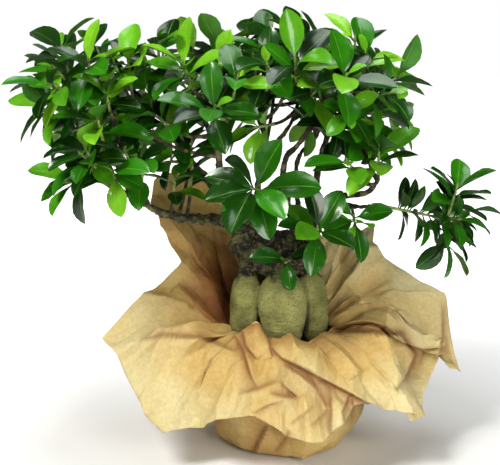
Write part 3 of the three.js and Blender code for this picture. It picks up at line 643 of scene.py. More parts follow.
packed_shoots = len(SHOOTS)
draw = np.random.default_rng(SPRAY_SEED)
for row in SHOOTS[:packed_shoots]:
    part = row[0].split("_")[0]
    for _ in range(SPRAYS_PER_SHOOT if part in CROWN_MIDDLES else 0):
        inward = np.array(CROWN_MIDDLES[part], float) - row[3]
        offset = draw.normal(size=3)
        offset = SPRAY_OFFSET * offset / np.linalg.norm(offset) + SPRAY_INWARD * inward / np.linalg.norm(inward)
        middle = row[3] + offset * draw.uniform(0.8, 1.3)
        along = max(0.3, row[2] - draw.uniform(0, 0.16))
        size, length, rise = draw.uniform(48, 58), draw.uniform(26, 34), row[7] * draw.uniform(0.4, 1)
        in_window = all(low < middle[k] < high for k, (low, high) in zip((0, 2), WINDOW))
        if not in_window:
            SHOOTS.append(("spray_" + part, row[1], along, tuple(middle), SPRAY_LEAVES, size, length, rise))
SHOOTS += PLACED_SPRAYS


def twig_line(row, lift):
    """Points from the limb to the foot of a shoot, on a bend that leaves towards the shoot's own line."""
    start, axis, foot, _ = shoot_axis(row)
    end = foot + lift * axis
    bend = end - axis * np.linalg.norm(end - start) / 2
    t = np.linspace(0, 1, TWIG_POINTS)[:, None]
    return (1 - t) ** 2 * start + 2 * t * (1 - t) * bend + t**2 * end


twig_parts = []
for seed, row in enumerate(SHOOTS, 60):
    if row[1] in LIMBS:
        line = twig_line(row, 0)
        t, girth = knotted(np.linalg.norm(line[-1] - line[0]), *TWIG_RADII, seed)
        path = np.stack([np.interp(t, np.linspace(0, 1, TWIG_POINTS), line[:, k]) for k in range(3)], -1)
        twig_parts.append(tube(path, girth, TWIG_SIDES))
twig_points, twig_faces = joined(twig_parts)
twigs = new_piece("twigs", twig_points * MM, twig_faces, bark_material)
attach(twigs, "root")


# The leafy shoots. Each is a green stem with leathery leaves set round it at the golden angle, a few young
# leaves at its tip and a pointed bud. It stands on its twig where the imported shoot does, with the same leaves and
# a few more between them. The far shoot's stem has its leaves in two rows, like a comb.
GOLDEN_ANGLE = np.radians(137.5)
LEAF_WIDTH = 0.49  # a share of its length
COMB_WIDTH = 0.34
COMB_TURN = 1.0  # how strongly the leaves of a comb turn their faces to the front
OPENING = (84, 34)  # a leaf's angle to its stem in degrees, low on the shoot and at its tip
OPENING_SPREAD = (14, 8)  # by how much that varies, and how much more with each new try
TURN_SPREAD = (0.5, 0.25)  # the same for its place round the stem, in radians
TWIST = 0.5
SIZE_SPREAD = 0.24
LATE_TRY = (7, 0.8)  # after so many tries a leaf is smaller, by this
ARCH = (28, 30)  # how far a leaf bends over its length in degrees, and by how much that varies
FOLD = (0.12, 0.16)  # how steeply its two halves fold up, and the same
BARE_STEM = 0.3  # the share of a stem that has no leaves
TO_LIGHT = (0.4, 0.7, 0.35)  # how strongly an upper face turns along the stem, up, and out of the crown
OUT_FROM = -20  # where the crown's middle is, across


def chance(a, b):
    """A repeatable draw from 0 to 1 for a pair of numbers: the fraction left over of a large sine."""
    s = np.sin(a * 12.9898 + b * 78.233) * 43758.5453
    return s - np.floor(s)


def leaf_place(number, leaf, tries, share, size, comb=False):
    """Where a leaf sits: its root, direction, upper face and side, with its length, width, arch and fold. The
    upper face turns to the light: partly up, partly along the stem and partly out of the crown."""
    _, axis, foot, length = shoot_axis(SHOOTS[number])
    middle = SHOOTS[number][3]

    def draw(salt):
        return chance(number * 17 + leaf + 1, salt + 7 * tries) - 0.5

    def mix(a, b):
        return a + (b - a) * share

    root = foot + axis * length * mix(BARE_STEM, 1)
    side = np.array([-axis[1], axis[0], 0.01])
    side /= np.linalg.norm(side)
    other = np.cross(axis, side)
    turn = np.pi * (leaf + 0.5) if comb else leaf * GOLDEN_ANGLE + number * 2.1
    turn += draw(1) * (TURN_SPREAD[0] + TURN_SPREAD[1] * tries)
    opening = np.radians(mix(*OPENING) + draw(2) * (OPENING_SPREAD[0] + OPENING_SPREAD[1] * tries))
    along = axis * np.cos(opening) + np.sin(opening) * (side * np.cos(turn) + other * np.sin(turn))
    outward = np.array([middle[0] - OUT_FROM, middle[1], 0])
    light = TO_LIGHT[0] * axis + np.array([0, -COMB_TURN * comb, TO_LIGHT[1]])
    light += TO_LIGHT[2] * outward / np.linalg.norm(outward)
    light += np.cross(along, light) * TWIST * draw(3)
    face = light - along * light.dot(along)
    face /= np.linalg.norm(face)
    return {
        "root": root,
        "along": along,
        "face": face,
        "side": np.cross(along, face),
        "length": size * (1 + SIZE_SPREAD * draw(4)) * (LATE_TRY[1] if tries > LATE_TRY[0] else 1),
        "width": COMB_WIDTH if comb else LEAF_WIDTH,
        "arch": np.radians(ARCH[0] + ARCH[1] * draw(5)),
        "fold": FOLD[0] + FOLD[1] * draw(6),
    }


def leaf_points(place, t, across, lift):
    """Points on a leaf: its spine bends evenly away from the upper face, and its two halves fold up from it."""
    bend = place["arch"] * t
    out = place["length"] * np.sin(bend) / place["arch"]
    down = place["length"] * (1 - np.cos(bend)) / place["arch"]
    up = place["face"] * np.cos(bend)[..., None] + place["along"] * np.sin(bend)[..., None]
    spine = place["root"] + place["along"] * out[..., None] - place["face"] * down[..., None]
    return spine + place["side"] * across[..., None] + up * (lift + place["fold"] * np.abs(across))[..., None]


LEAF_SHARES = np.array([0, 0.07, 0.15, 0.2, 0.3, 0.43, 0.58, 0.72, 0.84, 0.93, 1.0])
LEAF_ANGLES = np.radians([180, 128, 90, 52, 0, -52, -90, -128])
LEAF_SIDES = len(LEAF_ANGLES)
STALK_SHARE = 0.12
STALK_HALF = (0.85, 0.8)  # half its width and half its thickness
TIP_HALF = 0.15
BLADE_HALF = 0.45
BLADE_FORM = (1.12, 0.72)
RIPPLE = 0.9


def fine_leaf(place, seed):
    """A leaf's skin and its chart: flattened ellipses along its spine, round at the stalk and as wide as the blade
    beyond, which is sin(pi * share ** 1.12) ** 0.72. Its edge ripples by a sine along it."""
    draw = np.random.default_rng(seed)
    t = LEAF_SHARES[:, None]
    blade = np.clip((t - STALK_SHARE) / (1 - STALK_SHARE), 0, 1)
    wide = place["width"] * place["length"] * np.sin(np.pi * blade ** BLADE_FORM[0]) ** BLADE_FORM[1] / 2
    wide = np.maximum(wide, STALK_HALF[0] * (t < 0.2)) * (t < 1) + TIP_HALF * (t == 1)
    thick = np.where(t < 0.16, STALK_HALF[1], BLADE_HALF * (1 - 0.6 * t))
    across = wide * np.cos(LEAF_ANGLES)
    lift = thick * np.sin(LEAF_ANGLES)
    wave = np.sin(2 * np.pi * (t * draw.uniform(1.2, 2.2) + draw.uniform()) + 2 * np.cos(LEAF_ANGLES))
    ripple = RIPPLE * wave * np.cos(LEAF_ANGLES) ** 2 * np.minimum(wide / 12, 1)
    lift = lift + ripple + draw.uniform(0.1, 0.35) * np.abs(across)
    points = leaf_points(place, t + 0 * across, across, lift)
    return points, np.stack([np.cos(LEAF_ANGLES) / 2 + 0.5 + 0 * t, t + 0 * across], -1)


leaf_quads = grid_faces(len(LEAF_SHARES), LEAF_SIDES)
leaf_under = np.arange(len(leaf_quads)) % LEAF_SIDES >= LEAF_SIDES // 2

VEIN_SLANT = -0.55
VEIN_PITCH = 75.0
VEIN_COLOUR = 0.5
VEIN_RELIEF = (-0.0004, 0.6)


def leaf_finish(tree, shader, place, dark, middle, bright, rib):
    """A leaf's colour by its age, mottled, with a pale midrib and faint side veins, and their relief."""
    age = add_node(tree, "Attribute", attribute_name="age").outputs["Fac"]
    colour = ramp(tree, age, (0.05, dark), (0.5, middle), (0.95, bright))
    shade = patchy(tree, place, 55, 2.2, (0.1, (0.62, 0.68, 0.62)), (0.9, (1.18, 1.14, 1.1)))
    colour = mixed(tree, 0.8, colour, shade, "MULTIPLY")
    chart = add_node(tree, "UVMap", uv_map="leaf").outputs["UV"]
    parts = add_node(tree, "SeparateXYZ", {"Vector": chart}).outputs
    off = calculated(tree, "ABSOLUTE", calculated(tree, "SUBTRACT", parts["X"], 0.5))
    midrib = add_node(tree, "MapRange", {"Value": off}, From_Min=0.008, From_Max=0.028, To_Min=1.0, To_Max=0.0)
    slanted = calculated(tree, "MULTIPLY_ADD", off, VEIN_SLANT, parts["Y"])
    sine = calculated(tree, "SINE", calculated(tree, "MULTIPLY", slanted, VEIN_PITCH))
    veins = add_node(tree, "MapRange", {"Value": sine}, From_Min=0.7, From_Max=1.0, To_Max=0.1)
    both = calculated(tree, "MAXIMUM", midrib.outputs[0], veins.outputs[0])
    faint = calculated(tree, "MULTIPLY", both, VEIN_COLOUR)
    tree.links.new(mixed(tree, faint, colour, rib), shader.inputs["Base Color"])
    bumped(tree, shader, both, *VEIN_RELIEF)


leaf_material, tree, shader, place = plain_material("leaf face", (0.05, 0.22, 0.02, 1), 0.3)
shader.inputs["Specular IOR Level"].default_value = 0.3
shader.inputs["Specular Tint"].default_value = (0.75, 1, 0.7, 1)
shader.inputs["Coat Weight"].default_value = 0.6
shader.inputs["Coat Roughness"].default_value = 0.17
leaf_finish(tree, shader, place, (0.0015, 0.014, 0.001), (0.026, 0.21, 0.003), (0.24, 0.6, 0.02), (0.15, 0.4, 0.03))
under_material, *under = plain_material("leaf underside", (0.16, 0.34, 0.08, 1), 0.55)
leaf_finish(*under, (0.012, 0.07, 0.005), (0.04, 0.19, 0.01), (0.22, 0.5, 0.03), (0.22, 0.42, 0.08))
stem_material, tree, shader, place = plain_material("green stem", (0.2, 0.3, 0.07, 1), 0.5)
stem_colour = patchy(tree, place, 120, 2.5, (0.2, (0.1, 0.16, 0.04)), (0.8, (0.3, 0.4, 0.1)))
tree.links.new(stem_colour, shader.inputs["Base Color"])

MOST_LEAVES = 3000
leaf_boxes = np.empty((MOST_LEAVES, 2, 3))  # the low and high corners of every leaf so far
leaf_trees = []  # and its faces


def leaf_tree(points):
    """A leaf's box and its faces as a tree that tells whether it crosses another."""
    flat = points.reshape(-1, 3)
    return np.array([flat.min(0), flat.max(0)]), BVHTree.FromPolygons(flat.tolist(), leaf_quads.tolist())


def is_clear(box, faces):
    """Whether a leaf crosses none of those grown so far."""
    others = leaf_boxes[: len(leaf_trees)]
    near = (box[0] < others[:, 1]).all(1) & (box[1] > others[:, 0]).all(1)
    return not any(faces.overlap(leaf_trees[index]) for index in np.flatnonzero(near))


def keep_leaf(box, faces):
    """Notes a leaf, so that later ones are kept clear of it."""
    leaf_boxes[len(leaf_trees)] = box
    leaf_trees.append(faces)


LEAF_TRIES = 10
SAME_TIP = 0.0003
EXTRA_LEAVES = 6
EXTRA_TRIES = 6
EXTRA_SIZE = 0.92
COMB_LEAVES = 18
YOUNG_LEAVES = 3
YOUNG_SIZE = 0.45
YOUNG_AGE = (0.68, 0.3)  # how young a young leaf looks, and how much more so on a bright shoot
BRIGHT_SHOOTS = 0.22  # the share of the shoots that are bright
OLDER = {"reach": 0.6, "heart": 0.75}  # parts whose leaves are darker than the others


def leaf_age(row, draw):
    """How young a leaf looks, from 0 to 1, for a draw from 0 to 1: most are dark."""
    part = next((part for part in OLDER if part in row[0]), None)
    return (0.02 + 0.86 * draw**1.35) * OLDER.get(part, 1)


shoot_leaves = []
for number, row in enumerate(SHOOTS[:packed_shoots]):  # a packed leaf is the try whose tip is on the solid
    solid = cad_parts["shoot_" + row[0]]
    corners = kdtree.KDTree(len(solid.data.vertices))
    for index, vertex in enumerate(solid.data.vertices):
        corners.insert(vertex.co, index)
    corners.balance()
    leaves = []
    for leaf in range(row[4]):
        for tries in range(LEAF_TRIES):
            spot = leaf_place(number, leaf, tries, (leaf + 0.5) / row[4], row[5])
            tip = leaf_points(spot, np.ones(1), np.zeros(1), 0)[0] * MM
            if corners.find(tip)[2] < SAME_TIP:
                points, chart = fine_leaf(spot, number * 100 + leaf)
                leaves.append((points, chart, leaf_age(row, chance(number * 3.1 + leaf, 5))))
                keep_leaf(*leaf_tree(points))
                break
    shoot_leaves.append(leaves)
print("packed leaves found", sum(map(len, shoot_leaves)), "of", sum(row[4] for row in SHOOTS[:packed_shoots]))

for number, row in enumerate(SHOOTS):
    own = number < packed_shoots
    if not own:
        shoot_leaves.append([])
    comb = row[0] == "reach" and row[1] in LIMBS
    older = (COMB_LEAVES if comb else EXTRA_LEAVES) if own else row[4]
    bright = chance(number, 3) < BRIGHT_SHOOTS
    for extra in range(older + YOUNG_LEAVES):
        young = extra >= older
        share = 1.02 if young else (extra + 0.2) / older
        length = row[5] * (YOUNG_SIZE if young else EXTRA_SIZE)
        for tries in range(EXTRA_TRIES):
            spot = leaf_place(number, 40 + extra, tries, share, length, comb and not young)
            points, chart = fine_leaf(spot, number * 100 + 50 + extra)
            box, faces = leaf_tree(points)
            if is_clear(box, faces):
                keep_leaf(box, faces)
                age = leaf_age(row, chance(number * 3.1 + extra, 9))
                if young:
                    age = YOUNG_AGE[0] + YOUNG_AGE[1] * bright
                shoot_leaves[number].append((points, chart, age))
                break

STEM_RADII = (2.2, 1.3)
SIDE_STEM_RADII = (2.4, 2.2)
STEM_SIDES = 8
BUD_RADIUS = 1.5


def add_shoot(name, numbers):
    """The piece for shoots of one name: their stems, their buds and their leaves, with ages and leaf charts."""
    stems = []
    for number in numbers:
        start, axis, foot, length = shoot_axis(SHOOTS[number])
        t = np.linspace(0, 1, 12)
        swell = 1 + 0.15 * np.clip(np.cos(t * 40), 0, 1) ** 4
        line = foot + (t * length)[:, None] * axis
        stems.append(tube(line, (STEM_RADII[0] + (STEM_RADII[1] - STEM_RADII[0]) * t) * swell, STEM_SIDES))
        bud = line[-1] + np.linspace(-1, 9, 8)[:, None] * axis
        stems.append(tube(bud, BUD_RADIUS * np.sin(np.linspace(0.9, 3.1, 8)) + 0.12, STEM_SIDES))
        if SHOOTS[number][1] not in LIMBS:
            side_girth = np.linspace(*SIDE_STEM_RADII, TWIG_POINTS)
            stems.append(tube(twig_line(SHOOTS[number], 1), side_girth, STEM_SIDES))
    stem_points, stem_faces = joined(stems)
    leaves = [leaf for number in numbers for leaf in shoot_leaves[number]]
    blades = np.array([points for points, _, _ in leaves]).reshape(-1, 3)
    charts = np.array([chart for _, chart, _ in leaves]).reshape(-1, 2)
    each = len(LEAF_SHARES) * LEAF_SIDES
    quads = (leaf_quads[None] + np.arange(len(leaves))[:, None, None] * each).reshape(-1, 4) + len(stem_points)
    piece = new_piece(
        "leaves_" + name, np.vstack([stem_points, blades]) * MM, stem_faces + quads.tolist(), stem_material
    )
    mesh = piece.data
    mesh.materials.append(leaf_material)
    mesh.materials.append(under_material)
    slots = np.r_[np.zeros(len(stem_faces)), np.tile(1 + leaf_under, len(leaves))].astype(np.int32)
    mesh.polygons.foreach_set("material_index", slots)
    ages = np.repeat([age for _, _, age in leaves], each)
    per_point(piece, "age", np.r_[np.full(len(stem_points), 0.5), ages])
    corner_points = np.empty(len(mesh.loops), np.int32)
    mesh.loops.foreach_get("vertex_index", corner_points)
    charts = np.vstack([np.zeros((len(stem_points), 2)), charts])
    mesh.uv_layers.new(name="leaf").data.foreach_set("uv", charts[corner_points].ravel())
    ends = np.empty(len(mesh.edges) * 2, np.int32)
    mesh.edges.foreach_get("vertices", ends)
    ends = ends.reshape(-1, 2) - len(stem_points)
    column, station = ends % LEAF_SIDES, ends // LEAF_SIDES % len(LEAF_SHARES)
    along_rim = (column[:, 0] == column[:, 1]) & (column[:, 0] % (LEAF_SIDES // 2) == 0)
    rim = (ends.min(1) >= 0) & along_rim & (station.min(1) >= 2)
    mesh.attributes.new("sharp_edge", "BOOLEAN", "EDGE").data.foreach_set("value", rim)
    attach(piece, "root")
    return piece


for name in dict.fromkeys(row[0] for row in SHOOTS):
    piece = add_shoot(name, [number for number, row in enumerate(SHOOTS) if row[0] == name])
    if not name.startswith("spray"):
        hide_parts("shoot_" + name)


# The wrap. One square sheet of brown kraft paper, flat under the pot, bulging round it, gathered at a neck above
# the rim and falling open from there. It is pleated by hand at the neck, and creased all over from handling.
BAG = [(61, 0), (84, 12), (104, 42), (104, 80), (93, 119), (70, 153)]  # how far out and how high its outline is
BAG_LENGTH = 160  # of paper, from the edge of its floor to the neck
NECK_SHIFT = -4  # how far to the right of the pot's middle the neck is
HEM = np.array([  # a direction, the slope there at the neck in degrees, and how far out and how high the hem is
    (-90, 18, 160, 62),
    (-75, 20, 174, 58),
    (-68, 16, 182, 76),
    (-61, 14, 172, 98),
    (-52, 14, 176, 98),
    (-44, 16, 184, 76),
    (-38, 18, 194, 62),
    (-31, 20, 210, 72),
    (-24, 24, 202, 94),
    (-15, 28, 202, 106),
    (-8, 30, 214, 138),
    (0, 32, 236, 82),
    (6, 34, 230, 142),
    (10, 38, 228, 190),
    (15, 44, 194, 204),
    (22, 52, 152, 234),
    (30, 56, 146, 250),
    (38, 60, 164, 272),
    (52, 66, 128, 258),
    (90, 75, 104, 248),
    (112, 74, 112, 276),
    (127, 72, 130, 326),
    (137, 66, 172, 350),
    (146, 60, 212, 330),
    (154, 58, 200, 294),
    (161, 60, 176, 262),
    (167, 62, 138, 232),
    (173, 50, 160, 210),
    (180, 40, 185, 196),
    (187, 30, 238, 148),
    (194, 26, 220, 132),
    (202, 22, 213, 107),
    (209, 16, 206, 84),
    (213, 12, 204, 68),
    (219, 8, 194, 52),
    (226, 6, 176, 65),
    (234, 6, 162, 72),
    (247, 36, 154, 80),
    (256, 34, 153, 84),
    (264, 24, 156, 74),
])
PLEATS = np.array([  # angle at the neck, its turn per 100 mm outwards, width, fold, lift, reach out, reach down
    (-17, 6, 4.4, 3.6, -14, 220, 60),
    (8, 3, 3.2, 3.6, 8, 80, 60),
    (27, 2, 3.2, 3.8, 8, 80, 60),
    (45, 0, 3.2, 3.4, -8, 120, 70),
    (62, 3, 3.5, 4.2, 9, 80, 60),
    (80, -2, 3.0, 4.0, -8, 70, 80),
    (98, 3, 3.5, 3.6, 9, 100, 60),
    (117, 0, 3.2, 4.0, -8, 90, 70),
    (143, -3, 4.0, 3.4, 10, 150, 60),
    (158, 0, 3.5, 4.2, -10, 110, 80),
    (176, 4, 4.0, 3.6, 11, 120, 50),
    (194, 0, 3.2, 3.6, -8, 110, 70),
    (214, -6, 3.6, 3.4, 9, 80, 60),
    (233, -10, 3.0, 3.6, -8, 110, 80),
])
CRUMPLES = [  # the width of the facets, the depth of the relief and the seed of its scattered points
    (75, 17, 11),
    (32, 4.2, 12),
]
FRONT_FOLDS = [  # how far a fold stands out to the front, its width, and its edge: across and up from VIEW_TARGET
    (12, 34, [(190, -206), (205, -182), (214, -160), (196, -133), (157, -130), (118, -129), (80, -129)]),
    (11, 28, [(24, -147), (42, -164), (65, -175), (92, -189), (124, -206), (154, -222), (177, -230)]),
    (8, 20, [(101, -230), (85, -203), (65, -185), (43, -172)]),
    (7, 12, [(106, -198), (106, -232), (106, -266)]),
    (6, 8, [(123, -250), (120, -232), (132, -207)]),
    (5, 8, [(133, -210), (136, -232), (133, -253)]),
    (9, 10, [(-12, -118), (-5, -147), (9, -166)]),
    (8, 11, [(29, -164), (24, -140), (15, -114)]),
    (9, 8, [(-21, -129), (-8, -156), (1, -185), (10, -203)]),
    (6, 12, [(38, -193), (9, -205), (-16, -211)]),
    (7, 15, [(63, -216), (43, -214), (24, -209)]),
    (6, 10, [(39, -193), (52, -206), (64, -216)]),
    (5, 8, [(3, -236), (24, -224), (44, -218)]),
    (3.5, 10, [(52, -250), (69, -237), (82, -224), (84, -211), (73, -201)]),
    (4.5, 12, [(78, -253), (94, -237), (102, -230)]),
    (9, 9, [(24, -249), (13, -271), (3, -294)]),
    (8, 8, [(30, -287), (40, -274), (51, -257)]),
    (11, 24, [(-38, -120), (-65, -91), (-94, -66)]),
    (6, 13, [(-31, -73), (-50, -61), (-69, -46)]),
    (9, 18, [(146, -86), (124, -99), (105, -112)]),
    (4, 16, [(186, -63), (163, -73), (146, -86)]),
    (6, 11, [(145, 10), (131, -16), (118, -42)]),
    (7, 16, [(243, -185), (250, -134), (250, -91)]),
    (8, 26, [(-16, -156), (-65, -137), (-111, -135), (-144, -141)]),
    (4, 9, [(-67, 1), (-59, -23), (-65, -39)]),
]
FOLD_EDGE = 0.9
FOLD_GROOVE = (0.4, 5)  # on the low side of a fold's edge, as a share of the fold, and its width
FOLD_SHADE = (6.5, 5)  # the fold that is in full shade along its low side, and the width of that shade
FOLD_ENDS = 4.5  # how quickly a fold comes up from its ends
PEAKS = [(242, 7.5, 27), (219, 6, 8), (-45, 14, 6)]  # a direction, a width in degrees and a rise over the neck
PEAK_REACH = 26
GATHERS = 44
GATHER_LEAN = 8  # degrees for each 100 mm out from the neck, to either side
GATHER_MIDDLE = 15  # how far off the neck a gather is deepest, at most
GATHER_REACH = (25, 60)  # the range of how far a gather reaches from there, of its depth, and of its width in degrees
GATHER_DEPTH = (1, 3.5)
GATHER_WIDTH = (1, 2.5)
FRONT_FINER = 20  # degrees by which the columns are drawn to the front
WRAP_COLUMNS = 464
BAG_ROWS = 28
FLARE_ROWS = 74
FLOOR_HEIGHT = 0.3


def hem_at(degrees):
    """The slope at the neck in radians, and the step out and up from the neck to the hem, in some directions."""
    slope, out, up = (np.interp(degrees, HEM[:, 0], HEM[:, k], period=360) for k in (1, 2, 3))
    return np.radians(slope), np.stack([out, up], -1) - BAG[-1]


LEAVING = 0.4  # how far the sheet keeps its slope at the neck, as a share of the way to the hem
ARRIVING = (0.62, 0.1)  # how far along that way and how far over it the sheet then aims


def smooth_sheet(degrees, along):
    """The sheet without its folds. Along runs from -1 at the rim of the floor to 0 at the neck and 1 at the hem.
    Below the neck it is the bag's outline turned round the pot. Beyond, each direction follows a cubic Bezier curve
    that leaves the neck by its slope there, turns over early and runs nearly straight to the hem."""
    outline = along_points([(r, 0, z) for r, z in BAG], np.linspace(0, 1, 101))
    bag, t = np.clip(1 + along, 0, 1), np.clip(along, 0, 1)[..., None]
    leave, chord = hem_at(degrees)
    far = np.linalg.norm(chord, axis=-1, keepdims=True)
    one = LEAVING * far * np.stack([np.cos(leave), np.sin(leave)], -1)
    two = ARRIVING[0] * chord + ARRIVING[1] * np.stack([-chord[..., 1], chord[..., 0]], -1)
    flare = 3 * (1 - t) ** 2 * t * one + 3 * (1 - t) * t**2 * two + t**3 * chord
    r, z = (np.interp(bag, np.linspace(0, 1, 101), outline[:, k]) + flare[..., k // 2] for k in (0, 2))
    angle = np.radians(degrees)
    return np.stack([r * np.cos(angle) + NECK_SHIFT * bag, r * np.sin(angle), z], -1)


def pleated(degrees, along):
    """Where the paper at each place of the flat sheet goes round the pot, and how far out. A pleat doubles the
    sheet back on itself: round it by -x * exp(-x * x / 2), and out and in by the same curve, to part its layers."""
    reach = along * np.where(along > 0, np.linalg.norm(hem_at(degrees)[1], axis=-1), BAG_LENGTH)
    round_to, out_by = degrees + 0 * reach, 0 * reach
    for angle, lean, width, fold, rise, outer, inner in PLEATS:
        centre = angle + lean * reach / 100
        x = ((degrees - centre + 180) % 360 - 180) / width
        fade = np.exp(-((reach / np.where(reach > 0, outer, inner)) ** 2))
        curve = x * np.exp(-x * x / 2) * fade
        round_to = round_to - fold * width * curve * fade
        out_by = out_by + rise * curve
    return round_to, out_by, reach


TO_FRONT = np.array(toward)


def seen(points):
    """Points as they are seen from the front: across and up from VIEW_TARGET, in its plane."""
    off = points - np.array(VIEW_TARGET) / MM
    towards = off @ TO_FRONT
    scale = VIEW_DISTANCE / MM / (VIEW_DISTANCE / MM - towards)
    return off[..., 0] * scale, (off[..., 2] * np.cos(VIEW_DOWN) + off[..., 1] * np.sin(VIEW_DOWN)) * scale


def folded(points):
    """How far the folds at the front stand out, and how deep in their shade each place is. A fold rises sharply over
    its edge, on the left of its line, falls off by exp(-distance / width), has a groove along its low side, and dies
    away at both ends."""
    across, up = seen(points)
    total, shade = 0 * across, 0 * across
    for rise, width, line in FRONT_FOLDS:
        line = np.array(line, float)
        steps = np.diff(line, axis=0)
        spans = np.linalg.norm(steps, axis=1)
        done = np.r_[0, np.cumsum(spans)] / spans.sum()
        nearest, side, along = np.full(across.shape, np.inf), 0 * across, 0 * across
        for k, (start, step, span) in enumerate(zip(line, steps, spans)):
            x, y = across - start[0], up - start[1]
            t = np.clip((x * step[0] + y * step[1]) / span**2, 0, 1)
            distance = np.hypot(x - t * step[0], y - t * step[1])
            closer = distance < nearest
            nearest = np.where(closer, distance, nearest)
            side = np.where(closer, np.sign(step[0] * y - step[1] * x), side)
            along = np.where(closer, done[k] + t * (done[k + 1] - done[k]), along)
        off = side * nearest
        high = 1 / (1 + np.exp(-np.clip(off / FOLD_EDGE, -50, 50)))
        fold = high * np.exp(-np.maximum(off, 0) / width)
        fold -= (1 - high) * FOLD_GROOVE[0] * np.exp(np.minimum(off, 0) / FOLD_GROOVE[1])
        ends = np.sqrt(np.clip(FOLD_ENDS * along * (1 - along), 0, 1))
        total += rise * fold * ends
        shade += rise / FOLD_SHADE[0] * (1 - high) * np.exp(np.minimum(off, 0) / FOLD_SHADE[1]) * ends
    return total, shade


def crumpled(place, width, depth, seed):
    """Crumpled paper: flat facets that meet in sharp ridges and valleys, both ways out of the sheet. It is the
    difference between the squared distances to the nearest of two sets of scattered points, over width squared."""
    draw = np.random.default_rng(seed)
    size = np.abs(place).max() + width
    count = int((2 * size / width) ** 2)
    nearest = []
    for scatter in draw.uniform(-size, size, (2, count, 2)):
        squared = np.full(place.shape[:-1], np.inf)
        for point in scatter:
            squared = np.minimum(squared, ((place - point) ** 2).sum(-1))
        nearest.append(squared)
    return depth * (nearest[0] - nearest[1]) / width**2


def gathered(degrees, reach, seed):
    """The small sharp folds where the sheet is drawn in at the neck: each is exp(-|across| / width) round the pot,
    and dies away above and below the neck."""
    draw = np.random.default_rng(seed)
    total = 0 * reach
    for _ in range(GATHERS):
        turned = degrees - draw.uniform(-180, 180) - draw.uniform(-GATHER_LEAN, GATHER_LEAN) * reach / 100
        across = np.abs((turned + 180) % 360 - 180)
        off = reach - draw.uniform(-GATHER_MIDDLE, GATHER_MIDDLE)
        fade = np.exp(-(off**2) / draw.uniform(*GATHER_REACH) ** 2)
        depth = draw.choice([-1, 1]) * draw.uniform(*GATHER_DEPTH)
        total += depth * np.exp(-across / draw.uniform(*GATHER_WIDTH)) * fade
    return total


def lifted(sheet, over):
    """A share from 0 where the sheet is flat on the ground to 1 where it is this high over it."""
    return np.clip((sheet[..., 2] - 1) / over, 0, 1)


degrees, along = np.meshgrid(
    np.linspace(-90, 270, WRAP_COLUMNS, endpoint=False),
    np.r_[np.linspace(-1, 0, BAG_ROWS), np.linspace(0, 1, FLARE_ROWS + 1)[1:]],
)
degrees -= FRONT_FINER * np.sin(np.radians(degrees + 90))
round_to, out_by, reach = pleated(degrees, along)
wrap = smooth_sheet(round_to, along)
step = 0.004
normal = np.cross(
    smooth_sheet(round_to + 0.5, along) - smooth_sheet(round_to - 0.5, along),
    smooth_sheet(round_to, along + step * (along < 1)) - smooth_sheet(round_to, along - step * (along > -1)),
)
normal /= np.linalg.norm(normal, axis=-1, keepdims=True)
from_middle = (BAG[0][0] + BAG_LENGTH + reach)[..., None]
flat_place = from_middle * np.stack([np.cos(np.radians(degrees)), np.sin(np.radians(degrees))], -1)
crumple = sum(crumpled(flat_place, *row) for row in CRUMPLES) + gathered(degrees, reach, 5)
loose = lifted(wrap, 16) * (0.5 + 0.5 * np.clip(np.abs(reach) / 50, 0, 1))  # the neck holds it tighter
wrap += normal * (out_by * lifted(wrap, 8) + crumple * loose)[..., None]
for direction, width, rise in PEAKS:
    wrap[..., 2] += rise * np.exp(-(((degrees - direction) / width) ** 2) - (reach / PEAK_REACH) ** 2)
at_front = np.where(along < 0, np.clip((10 - wrap[..., 1]) / 20, 0, 1), 1) * lifted(wrap, 8)
fold_rise, fold_shade = folded(wrap)
wrap += TO_FRONT * (fold_rise * at_front)[..., None]
wrap[..., 2] = np.maximum(wrap[..., 2], FLOOR_HEIGHT)

# Its colour: a warm brown, with painted shade deep inside at the neck, on panels turned away from the lamps and in the
# folds' shade, painted light on the panel at the back on the right, and paler to the hem, flecked and full of fibres.
BAG_TONE = 0.28
# painted shade: how pale the paper is just outside the neck, darker than further out
NECK_SHADE_TONE = 0.25
PALER_OUT = (0.3, 130)  # how much paler the sheet is from this far out: partly painted light where it lies open to the lamps, partly bleached paper
LIGHT_AND_SHADE_PATCHES = [  # painted light and shade: a direction, a width in degrees, how far out from the neck, and how much paler
    (140, 32, 400, -0.4),
    (158, 18, 70, -0.42),
    (45, 34, 400, 0.12),
    (242, 9, 40, -0.25),
    (-90, 60, 400, -0.08),
]
TONE_MOTTLE = 0.4
FIBRE_SCALE = (700, 700, 2200)
FIBRE_RELIEF = 0.12
SHADE_COLOUR = (0.22, 0.08, 0.018)
SHADE_MOST = 0.8
CRINKLE_SCALE = 62
CRINKLE_SHIFTS = (0, 3.7)
SHARP_CREASE = 9  # degrees between two faces
PAPER_THICKNESS = 0.0003

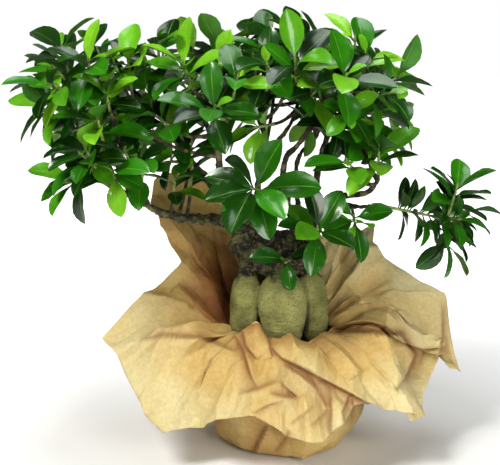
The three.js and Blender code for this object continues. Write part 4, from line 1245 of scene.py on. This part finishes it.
kraft_material, tree, shader, place = plain_material("kraft paper", (0.66, 0.46, 0.2, 1), 0.72)
# The paper's tone reads the painted light and shade kept for each point, with a mottle.
light_and_shade_tone = add_node(tree, "Attribute", attribute_name="painted_light_and_shade").outputs["Fac"]
kraft_colour = ramp(
    tree,
    calculated(tree, "MULTIPLY_ADD", mottled(tree, place, 11, 2.2), TONE_MOTTLE, light_and_shade_tone),
    (0.1, (0.33, 0.115, 0.025)),
    (0.5, (0.56, 0.385, 0.125)),
    (0.9, (0.66, 0.6, 0.33)),
)
grain = patchy(tree, place, 210, 3.0, (0.1, (0.9, 0.87, 0.82)), (0.9, (1.06, 1.06, 1.06)))
kraft_colour = mixed(tree, 0.7, kraft_colour, grain, "MULTIPLY")
stretched = add_node(tree, "Mapping", {"Vector": place}, Scale=FIBRE_SCALE).outputs[0]
fibres = add_node(tree, "TexNoise", {"Vector": stretched}, Scale=1.0, Detail=3.0, Distortion=0.8).outputs["Fac"]
fibre_colour = ramp(tree, fibres, (0.3, (0.8, 0.77, 0.72)), (0.7, (1.1, 1.08, 1.05)))
kraft_colour = mixed(tree, 0.35, kraft_colour, fibre_colour, "MULTIPLY")
shade = add_node(tree, "Attribute", attribute_name="shade").outputs["Fac"]
tree.links.new(mixed(tree, shade, kraft_colour, SHADE_COLOUR), shader.inputs["Base Color"])
heights = []
for shift in CRINKLE_SHIFTS:  # fine crinkles, by the same rule as the large facets
    moved = add_node(tree, "Mapping", {"Vector": place}, Location=(shift, 0, shift), Scale=(CRINKLE_SCALE,) * 3)
    cells = add_node(tree, "TexVoronoi", {"Vector": moved.outputs[0]}, Scale=1.0).outputs["Distance"]
    heights.append(calculated(tree, "MULTIPLY", cells, cells))
crinkles = calculated(tree, "SUBTRACT", *heights)
bumped(tree, shader, calculated(tree, "MULTIPLY_ADD", fibres, FIBRE_RELIEF, crinkles), 0.0015, 0.8)

rows = BAG_ROWS + FLARE_ROWS
wrap_points = np.vstack([wrap.reshape(-1, 3), [[0, 0, FLOOR_HEIGHT]]]) * MM
wrap_faces = grid_faces(rows, WRAP_COLUMNS).tolist()
wrap_faces += [[(j + 1) % WRAP_COLUMNS, j, rows * WRAP_COLUMNS] for j in range(WRAP_COLUMNS)]
paper = new_piece("paper_wrap", wrap_points, wrap_faces, kraft_material)
paper.data.set_sharp_from_angle(angle=np.radians(SHARP_CREASE))
# Painted light and shade for each point: darker deep inside at the neck, on the panel at the back on the left, at the
# foot of the peak and at the front, and paler out to the hem and on the panel at the back on the right.
light_and_shade_tone = np.where(along > 0, NECK_SHADE_TONE + PALER_OUT[0] * np.clip(reach / PALER_OUT[1], 0, 1), BAG_TONE)
for direction, width, outer, paler in LIGHT_AND_SHADE_PATCHES:
    turned = (degrees - direction + 180) % 360 - 180
    near = np.exp(-((turned / width) ** 2) - (reach / outer) ** 2) * (along > 0)
    light_and_shade_tone += paler * near
per_point(paper, "painted_light_and_shade", np.r_[light_and_shade_tone.ravel(), 0])
fold_shade = np.clip(fold_shade * at_front, 0, SHADE_MOST)
per_point(paper, "shade", np.r_[fold_shade.ravel(), 0])
paper.modifiers.new("thickness", "SOLIDIFY").thickness = PAPER_THICKNESS
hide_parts("wrap")
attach(paper, "root")
